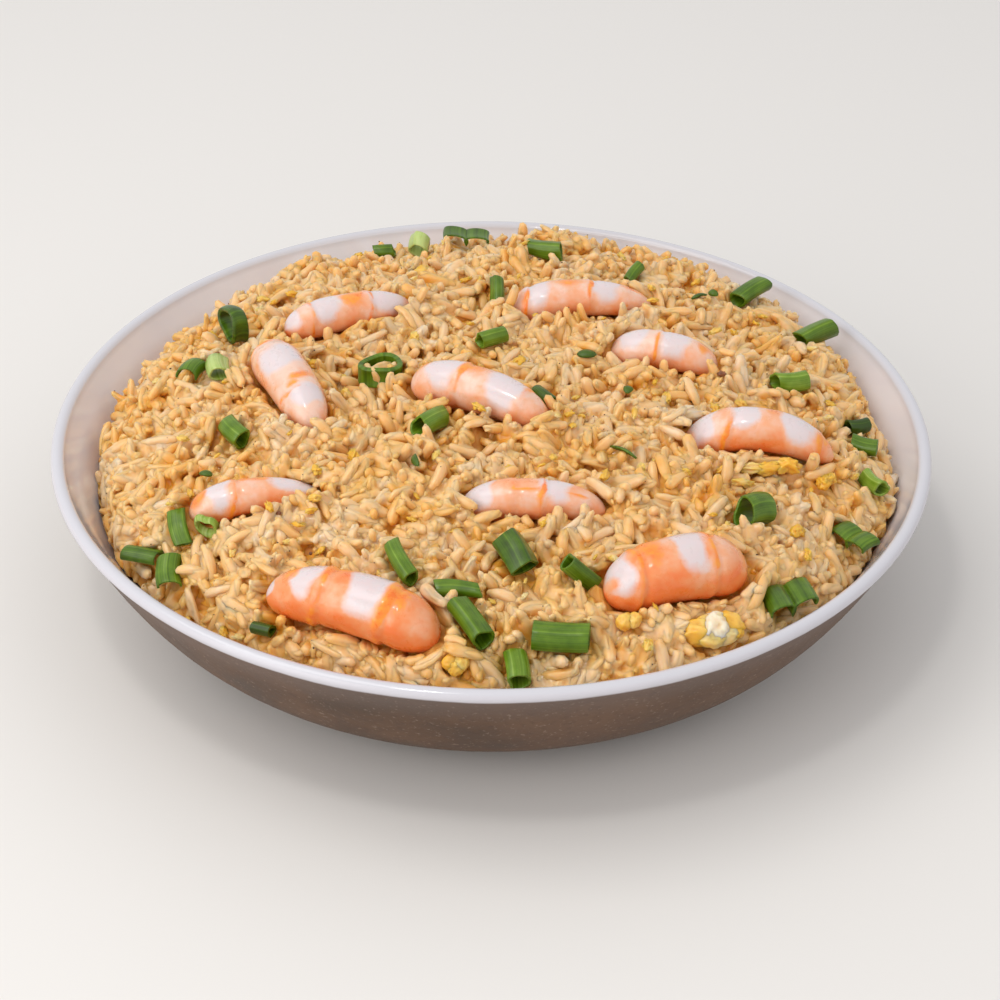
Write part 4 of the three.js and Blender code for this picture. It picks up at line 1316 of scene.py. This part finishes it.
def pepperPiece(pieces, settings):  # ground pepper on the grains that lie open to the sky
    random = np.random.default_rng(settings["seed"])
    pepper, form, faces = newBall("pepper", 1)
    points = np.concatenate([getPoints(piece.data) for piece in pieces]) / mm
    isOpen = points[:, 2] > riceTop(points[:, 0], points[:, 1]) + settings["above"]
    places = random.choice(points[isOpen], settings["count"], replace=False)
    size = random.uniform(*settings["sizes"], settings["count"])
    stretch = random.uniform(*settings["stretch"], (settings["count"], 1, 3)) * size[:, None, None]
    jagged = random.uniform(*settings["jagged"], (settings["count"], len(form), 1))
    pepper.data = copiesMesh("pepper", places[:, None] + form[None] * stretch * jagged, faces)
    finish, tree, shader = newFinish("groundPepper", (0.05, 0.03, 0.018), 0.7)
    colour = addRamp(tree, addNoise(tree, 240, 2), [(0.4, (0.07, 0.04, 0.022)), (0.6, (0.24, 0.13, 0.06))])
    tree.links.new(colour, shader.inputs["Base Color"])
    addBump(tree, shader, addNoise(tree, 3000, 2), 0.3, 0.0001)
    pepper.data.materials.append(finish)
    return pepper


crumbSettings = {"lift": 0.4, "crumple": 0.5, "foldSize": 1.4, "flatness": 0.8}
crumbShapes = [(58, 8, 2.6, 2.0), (-49, -52, 1.6, 1.2), (-41, -62, 1.2, 0.9)]  # x, y, length, width


def crumbPiece(settings):
    finish, tree, shader = newFinish("brownedCrumb", (0.22, 0.07, 0.03), 0.5, **{"Coat Weight": 0.2})
    colour = addRamp(tree, addNoise(tree, 500, 4), [
        (0.35, (0.10, 0.035, 0.015)), (0.65, (0.30, 0.10, 0.035))])
    tree.links.new(colour, shader.inputs["Base Color"])
    addBump(tree, shader, addNoise(tree, 1500, 3), 0.4, 0.0002)
    crumbs = []
    for index, (x, y, length, width) in enumerate(crumbShapes):
        crumb, sphere = newBall("crumb", 3)[:2]
        points = crumple(sphere, 60 + index, settings["crumple"], settings["foldSize"])[0]
        size = np.array([length, width, width * settings["flatness"]])
        setPoints(crumb.data, points * size / 2 * mm)
        setDown(crumb, {"x": x, "y": y, "turn": 37 * index, "lift": reliefAt(x, y) + settings["lift"]})
        crumbs.append(crumb)
    return joinPieces("crumbs", crumbs, finish)


# Build it

print("bowl")
bowl = makeBowl(bowlShape)
dressBowl(bowl)
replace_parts(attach(bowl, "root"), "bowl")

print("shrimp")
cookedShrimp = shrimpFinish()
for name, shape in shrimpShapes.items():
    piece = shrimpBody(name, shape)
    piece.data.materials.append(cookedShrimp)
    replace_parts(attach(piece, "root"), "shrimp_" + name)

print("scallions")
scallionFinishes = [scallionSkinFinish(), scallionInsideFinish(), scallionCutFinish()]
for index, (name, shape) in enumerate(scallionShapes.items()):
    piece = scallionPiece(name, shape, 100 + index)
    for finish in scallionFinishes:
        piece.data.materials.append(finish)
    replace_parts(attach(piece, "root"), "scallion_" + name)

print("egg")
friedEgg = eggFinish()
for name, shape in eggShapes.items():
    piece = eggPiece(name, shape)
    piece.data.materials.append(friedEgg)
    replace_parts(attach(piece, "root"), "egg_" + name)

print("egg scraps and slips")
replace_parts(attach(eggScrapPiece(eggScraps, friedEgg), "root"), "rice")
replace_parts(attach(scallionSlips(scallionFinishes[0]), "root"), "rice")
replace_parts(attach(crumbPiece(crumbSettings), "root"), "rice")

print("rice")
core = makeCore(coreShape)
core.data.materials.append(coreFinish())
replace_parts(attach(core, "root"), "rice")
grains = settleGrains(grainSettings)
tone = riceTone(grains)
friedRice = riceFinish()
angle = np.arctan2(grains["centre"][:, 1], grains["centre"][:, 0])
quarters = np.array_split(np.argsort(angle), 4)
for name, chosen in zip(("clumpsFront", "clumpsRight", "clumpsBack", "clumpsLeft"), quarters):
    clumps = clumpPiece(name, grains, chosen, tone, friedRice, clumpSettings)
    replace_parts(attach(clumps, "root"), "rice")
upperGrains = 4900  # how many lie on top with their whole form showing
above = grains["centre"][:, 2] - riceTop(grains["centre"][:, 0], grains["centre"][:, 1])
upper = np.argsort(-above)[:upperGrains]
shades = np.array_split(upper[np.argsort(tone[upper])], 4)
grainPieces = []
for name, chosen in zip(("riceAmber", "riceTan", "riceSand", "ricePale"), shades):
    grainPieces.append(grainMesh(name, grains, chosen, tone, friedRice))
    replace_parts(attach(grainPieces[-1], "root"), "rice")
print("grains", len(tone))

print("pepper")
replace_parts(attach(pepperPiece(grainPieces, pepperSettings), "root"), "rice")

# Floor, light and camera

print("floor, light, camera")
deselectAll()
bpy.ops.mesh.primitive_plane_add(size=6)
floor = bpy.context.object
floor.name = "floor"
floor.data.materials.append(newFinish("paleFloor", (0.78, 0.75, 0.71), 0.7)[0])

lightSettings = {  # place in mm, power in watts, size in mm; all aimed at the bowl
    "keyLight": {"place": (-480, -60, 950), "power": 2.25, "size": 600, "colour": (1.0, 0.98, 0.95)},
    "fillLight": {"place": (650, -700, 700), "power": 0.6, "size": 900, "colour": (0.97, 0.98, 1.0)},
    "frontLight": {"place": (-720, -640, 480), "power": 3.5, "size": 700, "colour": (1.0, 0.985, 0.97)},
    "glintLight": {"place": (-150, -300, 800), "power": 0.7, "size": 90, "colour": (1.0, 1.0, 1.0)},
}
for name, settings in lightSettings.items():
    data = bpy.data.lights.new(name, "AREA")
    data.energy = settings["power"]
    data.size = settings["size"] * mm
    data.color = settings["colour"]
    light = bpy.data.objects.new(name, data)
    light.location = Vector(settings["place"]) * mm
    light.rotation_euler = (-light.location).to_track_quat("-Z", "Y").to_euler()
    bpy.context.collection.objects.link(light)

worldSettings = {"colour": (0.96, 0.97, 1.0), "strength": 0.78}
world = bpy.data.worlds.new("studio")
bpy.context.scene.world = world
world.use_nodes = True
sky = world.node_tree.nodes["Background"]
sky.inputs["Color"].default_value = (*worldSettings["colour"], 1)
sky.inputs["Strength"].default_value = worldSettings["strength"]
bpy.context.scene.view_settings.view_transform = "Standard"

cameraSettings = {"target": (2.3, 0, 20.6), "distance": 592, "elevation": 34.2, "roll": 0.6, "lens": 82.5}
elevation, roll = math.radians(cameraSettings["elevation"]), math.radians(cameraSettings["roll"])
cameraData = bpy.data.cameras.new("camera")
cameraData.lens = cameraSettings["lens"]
cameraData.sensor_width = 36
camera = bpy.data.objects.new("camera", cameraData)
back = Vector((0, -math.cos(elevation), math.sin(elevation)))
place = (Vector(cameraSettings["target"]) + back * cameraSettings["distance"]) * mm
look = Matrix.Rotation(math.pi / 2 - elevation, 4, "X") @ Matrix.Rotation(roll, 4, "Z")
camera.matrix_world = Matrix.Translation(place) @ look
bpy.context.collection.objects.link(camera)
bpy.context.scene.camera = camera
